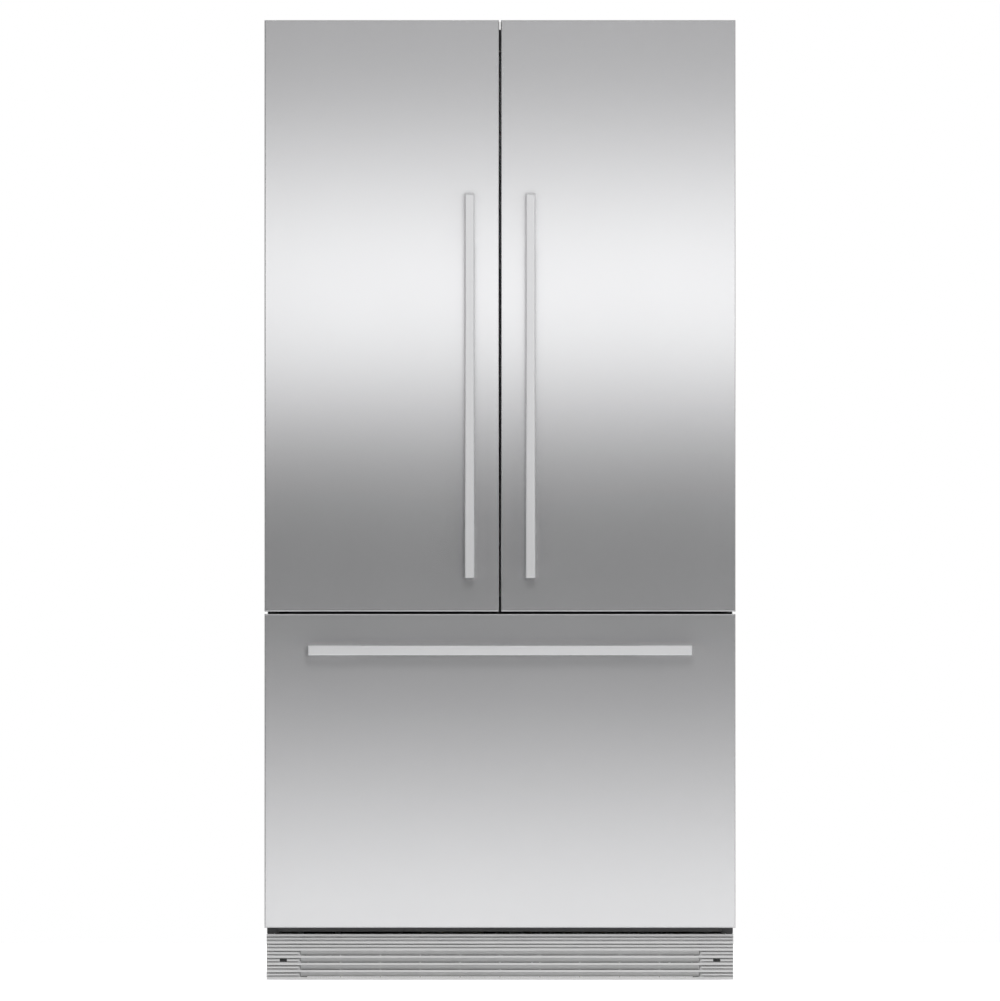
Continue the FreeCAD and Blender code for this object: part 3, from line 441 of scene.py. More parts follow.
# Each finish: its slot, where a piece is made for it, then its maker and what it is given.
# A word for a tint names one of the user's colours.
FINISHES = {
    "front_steel": (None, brushed_steel, (37, 2411, 2411), 0.26, None, 0.80),
    "upright_bar": (None, brushed_steel, ALONG_Z, 0.55, BAR_TINT, 0.78),
    "level_bar": (None, brushed_steel, ALONG_X, 0.55, BAR_TINT, 0.70),
    "wrap_paint": ("cabinet_paint", paint, "cabinet", 0.45, 0.03, 0.11),
    "grille_paint": ("grille_paint", paint, "grille", 0.4, 0.003, 0.0),
    "rail_paint": ("rail_paint", paint, (0.085, 0.085, 0.087), 0.45, 0.004, 0.0),
    "galvanised": (None, galvanised),
    "zinc": ("fastener_steel", zinc_plate),
    "black_plate": ("fastener_steel", paint, (0.02, 0.02, 0.021), 0.4, 0.01, 0.1),
    "backing_board": ("cap_plastic", plastic, (0.16, 0.16, 0.165), 0.55, 500.0),
    "foam": ("foam", plastic, (0.72, 0.62, 0.38), 0.8, 300.0, 0.3),
    "liner_white": ("white_liner", plastic, "liner", 0.28, 900.0, 0.012,
                    {"Subsurface_Weight": 0.04}),
    "cap_plastic": ("cap_plastic", plastic, (0.035, 0.035, 0.037), 0.5),
    "seal_rubber": ("seal", rubber, "seal"),
    "mount_rubber": (None, rubber, (0.03, 0.03, 0.03)),
    "clear_bin": ("clear_plastic", clear_plastic),
    "frosted_tub": ("frost_plastic", plastic, (0.78, 0.82, 0.84), 0.4, 700.0, 0.02,
                    {"Transmission_Weight": 0.25, "Subsurface_Weight": 0.1}),
    "shelf_glass": ("shelf_glass", shelf_glass),
    "trim_aluminium": (None, brushed_steel, (4, 700, 700), 0.3, (0.80, 0.80, 0.81)),
    "lamp_lens": ("lamp_lens", lamp_lens),
    "gloss_black": ("control_face", plastic, (0.012, 0.012, 0.014), 0.1, 300.0, 0.004,
                    {"Coat_Weight": 0.6}),
    "icon_white": ("control_face", plastic, (0.85, 0.88, 0.90), 0.4),
    "mullion_grey": (None, plastic, (0.10, 0.105, 0.11), 0.45),
    "foot_black": ("foot_plastic", plastic, (0.02, 0.02, 0.02), 0.5),
    "compressor_enamel": (None, paint, (0.012, 0.012, 0.014), 0.22, 0.05, 0.5),
    "fin_aluminium": (None, zinc_plate, (0.72, 0.73, 0.74)),
    "fan_black": ("machine_plastic", plastic, (0.02, 0.02, 0.022), 0.45),
    "motor_grey": (None, paint, (0.20, 0.205, 0.21), 0.4),
}


@cache
def material_of(finish):
    """Makes each finish once, when it is first asked for."""
    _, maker, *values = FINISHES[finish]
    constants = values.pop() if values and isinstance(values[-1], dict) else {}
    values = [getattr(colours(), v) if isinstance(v, str) else v for v in values]
    return maker(finish, *values, **constants)


def dress(finish, *names):
    """Gives CAD nodes their finish."""
    for name in names:
        slots = NODES[name].data.materials
        slots.clear()
        slots.append(material_of(finish))


# ---- mesh helpers
def linked(name, data):
    """A new object in the scene."""
    made = bpy.data.objects.new(name, data)
    bpy.context.scene.collection.objects.link(made)
    return made


def new_piece(name, mesh, finish, body="cabinet", replaced=()):
    """Links a finished mesh as a piece that rides on a body."""
    piece = linked(name, mesh)
    mesh.materials.clear()
    mesh.materials.append(material_of(finish))
    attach(piece, body)
    if replaced:
        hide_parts(*replaced)
    return piece


def built(bm, name, finish, body="cabinet", *replaced):
    """Makes a piece of a bmesh."""
    return new_piece(name, bm_to_mesh(bm, name), finish, body, replaced)


def span(side, a, b):
    """Two distances from the middle, as the low and high x on one side."""
    return sorted((side * a, side * b))


def plain_mesh(bm, name):
    mesh = bpy.data.meshes.new(name)
    bm.to_mesh(mesh)
    bm.free()
    return mesh


def bm_to_mesh(bm, name, smooth_angle=35):
    """Closes a bmesh into a mesh whose faces point outwards, smooth below an angle."""
    bmesh.ops.remove_doubles(bm, verts=bm.verts, dist=0.002 * MM)
    bmesh.ops.recalc_face_normals(bm, faces=bm.faces)
    for face in bm.faces:
        face.smooth = True
    limit = math.radians(smooth_angle)
    for edge in bm.edges:
        edge.smooth = len(edge.link_faces) == 2 and edge.calc_face_angle(0) < limit
    return plain_mesh(bm, name)


def rounded_loop(a0, a1, b0, b1, radius, steps=5):
    """Points of a rounded rectangle, anticlockwise, in its own plane."""
    radius = max(radius, 0.01 * MM)
    points = []
    for ca, cb, start in ((a1 - radius, b1 - radius, 0), (a0 + radius, b1 - radius, 90),
                          (a0 + radius, b0 + radius, 180), (a1 - radius, b0 + radius, 270)):
        for k in range(steps + 1):
            turn = math.radians(start + 90 * k / steps)
            points.append((ca + radius * math.cos(turn), cb + radius * math.sin(turn)))
    return points


PLACE = {"x": lambda a, b, level: (level, a, b),
         "y": lambda a, b, level: (a, level, b),
         "z": lambda a, b, level: (a, b, level)}


def loft(bm, loops, axis, closed=False):
    """Joins loops of points, each (level, points), into a skin; the ends are capped or joined."""
    rings = [[bm.verts.new(PLACE[axis](a, b, level)) for a, b in points]
             for level, points in loops]
    count = len(rings[0])
    pairs = list(zip(rings, rings[1:]))
    if closed:
        pairs.append((rings[-1], rings[0]))
    for one, two in pairs:
        for k in range(count):
            bm.faces.new((one[k], one[(k + 1) % count], two[(k + 1) % count], two[k]))
    if not closed:
        bm.faces.new(rings[0])
        bm.faces.new(rings[-1])


def bar_into(bm, low, high, axis="x", corner=0.5 * MM, end=0.4 * MM, steps=2):
    """A bar with rounded long edges and softened ends."""
    a, b, c = {"x": (1, 2, 0), "y": (0, 2, 1), "z": (0, 1, 2)}[axis]
    loft(bm, [(level, rounded_loop(low[a] + inset, high[a] - inset, low[b] + inset,
                                   high[b] - inset, corner, steps))
              for level, inset in ((low[c], end), (low[c] + end, 0), (high[c] - end, 0),
                                   (high[c], end))], axis)


def shell_into(bm, axis, stations, wall, corner, foot, flange=None, mouth=None):
    """A formed tub. Stations, each (level, a0, a1, b0, b1), run from its base to its rim."""
    up = 1 if stations[-1][0] > stations[0][0] else -1

    def ring(level, bounds, inset, radius):
        a0, a1, b0, b1 = bounds
        return level, rounded_loop(a0 + inset, a1 - inset, b0 + inset, b1 - inset,
                                   max(radius, 0.4 * MM), 6)

    def side(inset, shift):
        base, bounds = stations[0][0], stations[0][1:]
        rings = []
        for k in range(5):
            turn = math.radians(90 * k / 4)
            pull = foot * (1 - math.sin(turn))
            rings.append(ring(base + up * (shift + foot * (1 - math.cos(turn))), bounds,
                              inset + pull, corner - inset - pull))
        for level, *bounds in stations[1:-1]:
            rings.append(ring(level + up * shift, bounds, inset, corner - inset))
        return rings

    rim, edge = stations[-1][0], stations[-1][1:]
    lip = min(0.4 * wall, 0.8 * MM)
    outer, inner = side(0, 0), side(wall, wall)
    if mouth:
        outer.append(ring(rim - up * corner, edge, 0, corner))
        inner.append(ring(rim - up * corner, edge, wall, corner - wall))
        outer += [ring(rim - up * lip, edge, 0, mouth + wall), ring(rim, edge, lip, mouth + wall)]
        inner += [ring(rim - up * lip, edge, wall, mouth), ring(rim, edge, wall - lip, mouth)]
    elif flange:
        outer += [ring(rim, edge, 0, corner), ring(rim, flange, lip, corner),
                  ring(rim + up * lip, flange, 0, corner),
                  ring(rim + up * (wall - lip), flange, 0, corner),
                  ring(rim + up * wall, flange, lip, corner)]
        inner += [ring(rim + up * (wall - lip), edge, wall, corner - wall),
                  ring(rim + up * wall, edge, wall - lip, corner - wall + lip)]
    else:
        outer += [ring(rim - up * lip, edge, 0, corner), ring(rim, edge, lip, corner - lip)]
        inner += [ring(rim - up * lip, edge, wall, corner - wall),
                  ring(rim, edge, wall - lip, corner - wall + lip)]
    loft(bm, outer + inner[::-1], axis)


def tub_in(bm, bounds, base, rim, wall, corner, foot):
    """A plain open-topped tub inside x and y bounds."""
    shell_into(bm, "z", [(base, *bounds), (rim, *bounds)], wall, corner, foot)


def softened(node, name, width, finish, body="cabinet", segments=2):
    """A copy of a CAD node with its corners rounded, in millimetres, shown in its place."""
    bm = bmesh.new()
    bm.from_mesh(NODES[node].data)
    bmesh.ops.remove_doubles(bm, verts=bm.verts, dist=0.005 * MM)
    bmesh.ops.dissolve_limit(bm, angle_limit=math.radians(0.5), verts=bm.verts, edges=bm.edges)
    mesh = plain_mesh(bm, name)
    piece = new_piece(name, mesh, finish, body, (node,))
    bevel = piece.modifiers.new("Rounded corners", "BEVEL")
    bevel.width = width * MM
    bevel.segments = segments
    bevel.limit_method = "ANGLE"
    bevel.angle_limit = SHARP
    bevel.harden_normals = True
    for face in mesh.polygons:
        face.use_smooth = True
    mesh.set_sharp_from_angle(angle=SHARP)


# ---- geometry node helpers
def open_geometry_tree(name, inputs):
    """A geometry tree with named inputs, from their defaults, and one for the finish."""
    tree = bpy.data.node_groups.new(name, "GeometryNodeTree")
    tree.interface.new_socket("Geometry", in_out="INPUT", socket_type="NodeSocketGeometry")
    name_inputs(tree, dict(inputs, Material=None))
    tree.interface.new_socket("Geometry", in_out="OUTPUT", socket_type="NodeSocketGeometry")
    return tree, *ends(tree)


def end_tree(tree, given, out, geometry):
    """Realize Instances, then Set Material, then the tree's output."""
    real = add(tree, "GeometryNodeRealizeInstances", {"Geometry": geometry}).outputs[0]
    dressed = add(tree, "GeometryNodeSetMaterial", {"Geometry": real,
                                                    "Material": given["Material"]})
    tree.links.new(dressed.outputs[0], out["Geometry"])
    return tree


def grow(tree, values, finish, name, points=()):
    """Runs a geometry tree on some points and returns the result as a plain mesh."""
    seed = bpy.data.meshes.new(name + "_points")
    seed.from_pydata([tuple(p) for p in points], [], [])
    holder = linked(name + "_points", seed)
    modifier = holder.modifiers.new("Nodes", "NODES")
    modifier.node_group = tree
    values = dict(values, Material=material_of(finish))
    for item in tree.interface.items_tree:
        if item.in_out == "INPUT" and item.name in values:
            modifier[item.identifier] = values[item.name]
    shown = holder.evaluated_get(bpy.context.evaluated_depsgraph_get())
    mesh = bpy.data.meshes.new_from_object(shown)
    mesh.name = name
    holder.modifiers.clear()
    bpy.data.objects.remove(holder)
    bpy.data.meshes.remove(seed)
    return mesh


def joined(tree, *geometries):
    node = add(tree, "GeometryNodeJoinGeometry")
    for geometry in geometries:
        tree.links.new(geometry, node.inputs[0])
    return node.outputs[0]


def moved(tree, geometry, offset):
    return add(tree, "GeometryNodeTransform", {"Geometry": geometry,
                                               "Translation": offset}).outputs[0]


def placed(tree, points, geometry, **turn):
    return add(tree, "GeometryNodeInstanceOnPoints", {"Points": points, "Instance": geometry,
                                                      **turn}).outputs[0]


def row_of(tree, geometry, number, start, step):
    """Instances along a straight line."""
    line = add(tree, "GeometryNodeMeshLine", {"Count": number, "Start Location": start,
                                              "Offset": step}).outputs[0]
    return placed(tree, line, geometry)


def extruded(tree, width, section, corner):
    """A bar along X, centred, with a four-sided section whose corners are rounded."""
    half = maths(tree, "MULTIPLY", width, 0.5)
    line = add(tree, "GeometryNodeCurvePrimitiveLine",
               {"Start": combine(tree, maths(tree, "MULTIPLY", half, -1.0)),
                "End": combine(tree, half)}).outputs[0]
    soft = add(tree, "GeometryNodeFilletCurve", {"Curve": section.outputs[0], "Radius": corner,
                                                 "Count": 3}, mode="POLY").outputs[0]
    return add(tree, "GeometryNodeCurveToMesh", {"Curve": line, "Profile Curve": soft,
                                                 "Fill Caps": True}).outputs[0]


def strip_of(tree, width, corners, corner):
    """A bar along X from the four (y, z) corners of its section."""
    points = {f"Point {k + 1}": (-y, -z, 0) for k, (y, z) in enumerate(corners)}
    return extruded(tree, width, add(tree, "GeometryNodeCurvePrimitiveQuadrilateral", points,
                                     mode="POINTS"), corner)


def bar_at(tree, low, high, corner):
    """A rounded bar between two corners."""
    width, depth, height = (b - a for a, b in zip(low, high))
    section = add(tree, "GeometryNodeCurvePrimitiveQuadrilateral",
                  {"Width": depth, "Height": height})
    centre = tuple((a + b) / 2 for a, b in zip(low, high))
    return moved(tree, extruded(tree, width, section, corner), centre)


def tidied(mesh, name, smooth_angle=35):
    """The same mesh with its doubles merged and its faces pointing outwards."""
    bm = bmesh.new()
    bm.from_mesh(mesh)
    bpy.data.meshes.remove(mesh)
    return bm_to_mesh(bm, name, smooth_angle)


# ---- toe grille
def grille_tree(low, high, screw_x):
    """Ribs, sloping blades, dividers, ridges and closed ends of the louvred toe grille."""
    tree, given, out = open_geometry_tree("Louvred toe grille", {
        "Width": 0.889, "First Rib": 0.0038, "Pitch": 0.01365, "Ribs": 7, "Open Rows": 4,
        "Slot Pitch": 0.076, "Columns": 10})
    front, back, edge = low.y, high.y, high.x
    first, pitch, open_rows = given["First Rib"], given["Pitch"], given["Open Rows"]
    vent_edge, backing_edge = 384 * MM, 381 * MM
    shapes = []

    def stack(shape, number, start):
        """Copies of a shape above each other, one pitch apart."""
        shapes.append(row_of(tree, shape, number, combine(tree, 0, 0, start),
                             combine(tree, 0, 0, pitch)))

    def ridge(x0, x1):
        return bar_at(tree, (x0, front + 4 * MM, -1.8 * MM), (x1, back - 2 * MM, 1.8 * MM),
                      0.8 * MM)

    def raised(start, rows):
        return maths(tree, "ADD", start, maths(tree, "MULTIPLY", pitch, rows))

    stack(strip_of(tree, given["Width"], ((back - 0.2 * MM, -2.3 * MM), (front, -2.3 * MM),
                                          (front + 1.3 * MM, 2.3 * MM),
                                          (back - 0.2 * MM, 2.3 * MM)), 0.8 * MM),
          given["Ribs"], first)
    vents = maths(tree, "MULTIPLY", given["Slot Pitch"], given["Columns"])
    stack(strip_of(tree, vents, ((front + 3 * MM, -1.8 * MM), (back - MM, -11.2 * MM),
                                 (back - MM, -9 * MM), (front + 5.5 * MM, -0.8 * MM)), 0.4 * MM),
          open_rows, maths(tree, "ADD", first, pitch))
    divider = bar_at(tree, (-1.1 * MM, front + 10 * MM, -5 * MM), (1.1 * MM, back - MM, 5 * MM),
                     0.5 * MM)
    middle = raised(first, 0.5)
    stack(row_of(tree, divider, maths(tree, "ADD", given["Columns"], 1.0),
                 combine(tree, maths(tree, "MULTIPLY", vents, -0.5)),
                 combine(tree, given["Slot Pitch"])), open_rows, middle)
    closed_rows = maths(tree, "SUBTRACT", maths(tree, "SUBTRACT", given["Ribs"], 1.0), open_rows)
    stack(ridge(-edge, edge), closed_rows, raised(middle, open_rows))
    for _, side in BOTH:
        for a, b in ((vent_edge, screw_x - 7 * MM), (screw_x + 7 * MM, edge)):
            stack(ridge(*span(side, a, b)), open_rows, middle)
        pocket = ridge(*span(side, screw_x - 7.2 * MM, screw_x + 7.2 * MM))
        stack(pocket, 2, middle)
        stack(pocket, 1, raised(middle, 3.0))
        x0, x1 = span(side, vent_edge - 4 * MM, edge)
        shapes.append(bar_at(tree, (x0, back - 3 * MM, low.z + 0.2 * MM), (x1, back, high.z - MM),
                             0.5 * MM))
    top = first_rib_z() + 4 * sizes().rib_pitch
    shapes.append(bar_at(tree, (-backing_edge, back - 3 * MM, top),
                         (backing_edge, back, high.z - MM), 0.5 * MM))
    return end_tree(tree, given, out, joined(tree, *shapes))


def first_rib_z():
    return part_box("toe_grille")[0].z + sizes().rib_height / 2


def screw_tree():
    """A hex screw with a flange on every given point."""
    tree, given, out = open_geometry_tree("Flanged screws", {"Radius": 0.0042,
                                                             "Tilt": (0, 0, 0)})
    tiers = []
    for sides, top, bottom, depth, start in ((20, 0.86, 1.0, 0.8, 0.0), (6, 0.70, 0.74, 1.6, 0.75),
                                             (6, 0.52, 0.70, 0.5, 2.3)):
        tier = add(tree, "GeometryNodeMeshCone", {
            "Vertices": sides, "Radius Top": maths(tree, "MULTIPLY", given["Radius"], top),
            "Radius Bottom": maths(tree, "MULTIPLY", given["Radius"], bottom),
            "Depth": depth * MM}).outputs[0]
        tiers.append(moved(tree, tier, (0, 0, start * MM)))
    return end_tree(tree, given, out, placed(tree, given["Geometry"], joined(tree, *tiers),
                                             Rotation=given["Tilt"]))


def screws(name, finish, points, tilt, radius=None, replaced=()):
    """Screws on the cabinet, with their heads turned by a tilt."""
    values = {"Radius": radius or sizes().screw_radius, "Tilt": tilt}
    mesh = grow(shared_tree(screw_tree), values, finish, name, points)
    new_piece(name, tidied(mesh, name), finish, "cabinet", replaced)


TO_BACK = (-FACING_FRONT, 0.0, 0.0)
TO_FRONT = (FACING_FRONT, 0.0, 0.0)
UPWARD = (0.0, 0.0, 0.0)


# ---- operators
class FRIDGE_OT_front_steel(bpy.types.Operator):
    """Brushed stainless door and drawer panels and the three bar handles"""
    bl_idname = "fridge.front_steel"
    bl_label = "Panels and Handles"

    def execute(self, context):
        dress("front_steel", "left_door_panel", "right_door_panel", "drawer_panel")
        dress("upright_bar", "left_door_handle", "right_door_handle")
        dress("level_bar", "drawer_handle")
        return {"FINISHED"}


class FRIDGE_OT_toe_grille(bpy.types.Operator):
    """Louvred toe grille with its two screws, and the dark rail above it"""
    bl_idname = "fridge.toe_grille"
    bl_label = "Toe Grille"

    def execute(self, context):
        given = sizes()
        low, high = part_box("toe_grille")
        head_low, head_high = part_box("grille_screws")
        radius = 3.1 * MM
        x, z = head_high.x - radius, (head_low.z + head_high.z) / 2
        values = {"Width": high.x - low.x, "First Rib": first_rib_z(), "Pitch": given.rib_pitch,
                  "Ribs": given.rib_count, "Open Rows": given.open_rows,
                  "Slot Pitch": given.slot_pitch, "Columns": given.slot_columns}
        mesh = grow(grille_tree(low, high, x), values, "grille_paint", "louvred_grille")
        new_piece("louvred_grille", tidied(mesh, "louvred_grille", 25), "grille_paint", "cabinet",
                  ("toe_grille",))
        screws("grille_hex_screws", "black_plate", [(s * x, high.y - 4 * MM, z) for _, s in BOTH],
               TO_FRONT, radius, ("grille_screws",))
        bm = bmesh.new()
        for _, s in BOTH:
            bar_into(bm, (s * x - 6.8 * MM, high.y - 3.9 * MM, z - radius),
                     (s * x + 6.8 * MM, high.y - 2.8 * MM, z + radius), "x", 0.4 * MM)
        built(bm, "screw_clips", "black_plate")
        softened("bottom_rail", "recess_rail", 0.5, "rail_paint")
        return {"FINISHED"}


class FRIDGE_OT_cabinet(bpy.types.Operator):
    """Painted wrap, back sheet, insulation, base pan, feet, rollers and cross rail"""
    bl_idname = "fridge.cabinet"
    bl_label = "Cabinet"

    def execute(self, context):
        softened("cabinet_wrap", "folded_wrap", 0.4, "wrap_paint")
        softened("centre_rail", "cross_rail", 0.4, "rail_paint")
        softened("front_feet", "levelling_feet", 0.8, "foot_black")
        softened("rear_rollers", "transport_rollers", 1.0, "foot_black", "rollers")
        dress("galvanised", "cabinet_back", "base_frame")
        dress("foam", "wall_insulation")
        return {"FINISHED"}


class FRIDGE_OT_fasteners(bpy.types.Operator):
    """Hex screws round the back sheet, the machine room cover and the top hinges"""
    bl_idname = "fridge.fasteners"
    bl_label = "Fasteners"

    def execute(self, context):
        low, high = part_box("cabinet_back")
        edge = high.x - 9 * MM
        rows, margin = 7, 20 * MM
        rise = (high.z - low.z - 2 * margin) / (rows - 1)
        points = [(s * edge, high.y, low.z + margin + k * rise)
                  for _, s in BOTH for k in range(rows)]
        points += [(x, high.y, high.z - 10 * MM) for x in (-0.3, -0.15, 0.0, 0.15, 0.3)]
        screws("back_sheet_screws", "zinc", points, TO_BACK)
        low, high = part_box("machine_room_cover")
        edge = high.x - 10 * MM
        points = [(s * edge, high.y, z) for _, s in BOTH for z in (0.035, 0.13, 0.232)]
        points += [(x, high.y, z) for x in (-0.22, 0.0, 0.22) for z in (0.026, 0.238)]
        screws("cover_screws", "zinc", points, TO_BACK)
        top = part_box("top_hinges")[0].z + 4 * MM
        points = [(s * x, y, top) for _, s in BOTH
                  for x, y in ((0.385, -0.150), (0.425, -0.150), (0.405, -0.175))]
        screws("hinge_screws", "zinc", points, UPWARD, 7.6 * MM)
        return {"FINISHED"}


class FRIDGE_OT_hinges(bpy.types.Operator):
    """Hinge plates and pins"""
    bl_idname = "fridge.hinges"
    bl_label = "Hinges"

    def execute(self, context):
        dress("zinc", "hinge_pins", "top_hinges")
        dress("black_plate", "middle_hinges")
        return {"FINISHED"}


class FRIDGE_OT_liners(bpy.types.Operator):
    """Formed inner liners with rounded corners, ledges and runners, and the air covers"""
    bl_idname = "fridge.liners"
    bl_label = "Liners"

    def execute(self, context):
        corner, wall, mouth = 16 * MM, 2 * MM, 1.2 * MM
        low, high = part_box("fresh_food_liner")
        bm = bmesh.new()
        bounds = (low.x, high.x, low.z, high.z)
        shell_into(bm, "y", [(high.y, *bounds), (low.y, *bounds)], wall, corner, corner,
                   mouth=mouth)
        for z in [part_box("glass_shelves")[0].z] + shelf_levels()[1:]:
            front = -0.100 if z < 1.0 else -0.115
            for _, s in BOTH:
                x0, x1 = span(s, 0.392, 0.4005)
                bar_into(bm, (x0, front, z - 6 * MM), (x1, 0.246, z), "y", 1.2 * MM, 2 * MM)
        for _, s in BOTH:
            for x in (0.060, 0.350):
                x0, x1 = span(s, x, x + 10 * MM)
                bar_into(bm, (x0, -0.090, low.z + MM), (x1, 0.240, low.z + 5.9 * MM), "y",
                         1.5 * MM, 2 * MM)
        built(bm, "fresh_food_shell", "liner_white", "cabinet", "fresh_food_liner")
        low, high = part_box("freezer_liner")
        hump, step = 0.290, 0.082
        bm = bmesh.new()
        upper = (low.x, high.x, hump, high.z)
        whole = (low.x, high.x, low.z, high.z)
        shell_into(bm, "y", [(high.y, *upper), (step, *upper), (step, *whole), (low.y, *whole)],
                   wall, corner, corner, mouth=mouth)
        built(bm, "freezer_shell", "liner_white", "cabinet", "freezer_liner")
        softened("air_duct_cover", "air_duct", 0.8, "liner_white")
        softened("evaporator_cover", "freezer_back_panel", 0.7, "liner_white")
        softened("crisper_divider", "crisper_column", 1.5, "liner_white")
        return {"FINISHED"}


def shelf_levels():
    """Undersides of the glass sheets, from the lowest."""
    heights = sorted({round(v.co.z, 4) for v in NODES["glass_shelves"].data.vertices})
    return heights[::2]


class FRIDGE_OT_door_insides(bpy.types.Operator):
    """Inner doors, end caps and the drawer's inner face"""
    bl_idname = "fridge.door_insides"
    bl_label = "Door Insides"

    def execute(self, context):
        cap_height, wall, foam_depth = 18 * MM, 2 * MM, 43 * MM
        for name, _ in BOTH:
            body = name + "_door"
            softened(body + "_liner", name + "_inner_door", 1.6, "liner_white", body, 3)
            low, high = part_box(body + "_caps")
            bm = bmesh.new()
            for z in (low.z, high.z - cap_height):
                bar_into(bm, (low.x, low.y, z), (high.x, high.y, z + cap_height), "z", 2.5 * MM,
                         1.2 * MM, 4)
            built(bm, name + "_end_caps", "cap_plastic", body, body + "_caps")
        softened("drawer_liner", "drawer_inner_face", 1.6, "liner_white", "drawer", 3)
        for body in ("left_door", "right_door", "drawer"):
            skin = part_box(body + "_panel")
            fold, play = Vector((1.2, 1.2, 1.2)) * MM, Vector((1.2, 0, 1.2)) * MM
            bm = bmesh.new()
            bar_into(bm, skin[0] + fold, skin[1] - play, "x", 0.6 * MM)
            built(bm, body + "_backing", "backing_board", body, body + "_core")
            low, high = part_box(body + "_liner")
            bm = bmesh.new()
            bar_into(bm, (low.x + wall, low.y, low.z + wall),
                     (high.x - wall, low.y + foam_depth, high.z - wall), "x", wall)
            built(bm, body + "_foam", "foam", body)
        return {"FINISHED"}


class FRIDGE_OT_seals(bpy.types.Operator):
    """Magnetic bellows seals of both doors and the drawer, and the bulb seals between doors"""
    bl_idname = "fridge.seals"
    bl_label = "Door Seals"

    def execute(self, context):
        section = ((1.6, 0), (0.7, 0.9), (2.7, 2.3), (0.5, 3.7), (0, 4.9), (0, 7.5), (0.7, 8.2),
                   (15.3, 8.2), (16, 7.5), (16, 4.9), (13.2, 4.2), (15.2, 3.1), (13.4, 1.7),
                   (14.6, 0.7), (14.0, 0))
        depth, door_bottom, door_top = 8.2 * MM, 0.714, 1.802
        for name, side in BOTH + (("drawer", 0),):
            body = name + "_door" if side else "drawer"
            low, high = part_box(body + "_gasket")
            x0 = 16 * MM if side > 0 else low.x
            x1 = -16 * MM if side < 0 else high.x
            z0, z1 = (door_bottom, door_top) if side else (low.z, high.z)
            bm = bmesh.new()
            loops = [(high.y - depth + v * MM,
                      rounded_loop(x0 + u * MM, x1 - u * MM, z0 + u * MM, z1 - u * MM,
                                   max(5 - u, 0.6) * MM, 4)) for u, v in section]
            loft(bm, loops, "y", closed=True)
            if side:
                a, b = span(side, 1.2 * MM, 12 * MM)
                bar_into(bm, (a, -0.252, low.z), (b, -0.238, high.z), "z", 4.6 * MM, MM, 5)
            built(bm, name + "_bellows_seal", "seal_rubber", body, body + "_gasket")
        return {"FINISHED"}


class FRIDGE_OT_door_bins(bpy.types.Operator):
    """Clear hook-on bins of both doors and the dairy lid"""
    bl_idname = "fridge.door_bins"
    bl_label = "Door Bins"

    def execute(self, context):
        corner = sizes().tub_corner
        door_side, shelf_side, height = -0.217, -0.131, 0.105
        for name, side in BOTH:
            body = name + "_door"
            bm = bmesh.new()
            x0, x1 = span(side, 62 * MM, 363 * MM)
            for z in (0.960, 1.230, 1.500):
                tub_in(bm, (x0, x1, door_side, shelf_side), z, z + height, 3 * MM, corner, 8 * MM)
                for rise in (22, 50, 78):
                    bar_into(bm, (x0 + corner, -0.132, z + rise * MM),
                             (x1 - corner, -0.130, z + (rise + 3) * MM), "x", 0.9 * MM)
                for a, b in ((55, 63), (362, 370)):
                    h0, h1 = span(side, a * MM, b * MM)
                    bar_into(bm, (h0, door_side, z + 60 * MM), (h1, -0.205, z + 66 * MM), "z",
                             1.2 * MM)
                    bar_into(bm, (h0, door_side, z + 46 * MM), (h1, -0.2142, z + 65 * MM), "z",
                             0.8 * MM)
            built(bm, name + "_bins", "clear_bin", body, body + "_bins")
        softened("dairy_lid", "dairy_flap", 0.7, "clear_bin", "dairy_lid")
        return {"FINISHED"}


class FRIDGE_OT_mullion(bpy.types.Operator):
    """Flip mullion between the doors"""
    bl_idname = "fridge.mullion"
    bl_label = "Flip Mullion"

    def execute(self, context):
        dress("mullion_grey", "flip_mullion")
        return {"FINISHED"}


class FRIDGE_OT_shelves(bpy.types.Operator):
    """Glass shelves and their front trims"""
    bl_idname = "fridge.shelves"
    bl_label = "Shelves"

    def execute(self, context):
        softened("glass_shelves", "tempered_shelves", 0.8, "shelf_glass", segments=3)
        dress("trim_aluminium", "shelf_trims")
        return {"FINISHED"}


class FRIDGE_OT_crispers(bpy.types.Operator):
    """Two moulded crispers with rolled pull lips"""
    bl_idname = "fridge.crispers"
    bl_label = "Crispers"

    def execute(self, context):
        corner = sizes().tub_corner
        for name, _ in BOTH:
            node = name + "_crisper"
            low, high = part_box(node)
            front = low.y + 10 * MM
            bm = bmesh.new()
            tub_in(bm, (low.x, high.x, front, high.y), low.z, high.z, 3 * MM, corner, 12 * MM)
            x0, x1 = low.x + 4 * MM, high.x - 4 * MM
            bar_into(bm, (x0, low.y, high.z - 3 * MM), (x1, front + 1.5 * MM, high.z), "x",
                     1.2 * MM, MM)
            bar_into(bm, (x0, low.y, high.z - 14 * MM), (x1, low.y + 3 * MM, high.z - 0.4 * MM),
                     "x", 1.2 * MM, MM)
            built(bm, name + "_drawer_tub", "frosted_tub", node, node)
        return {"FINISHED"}


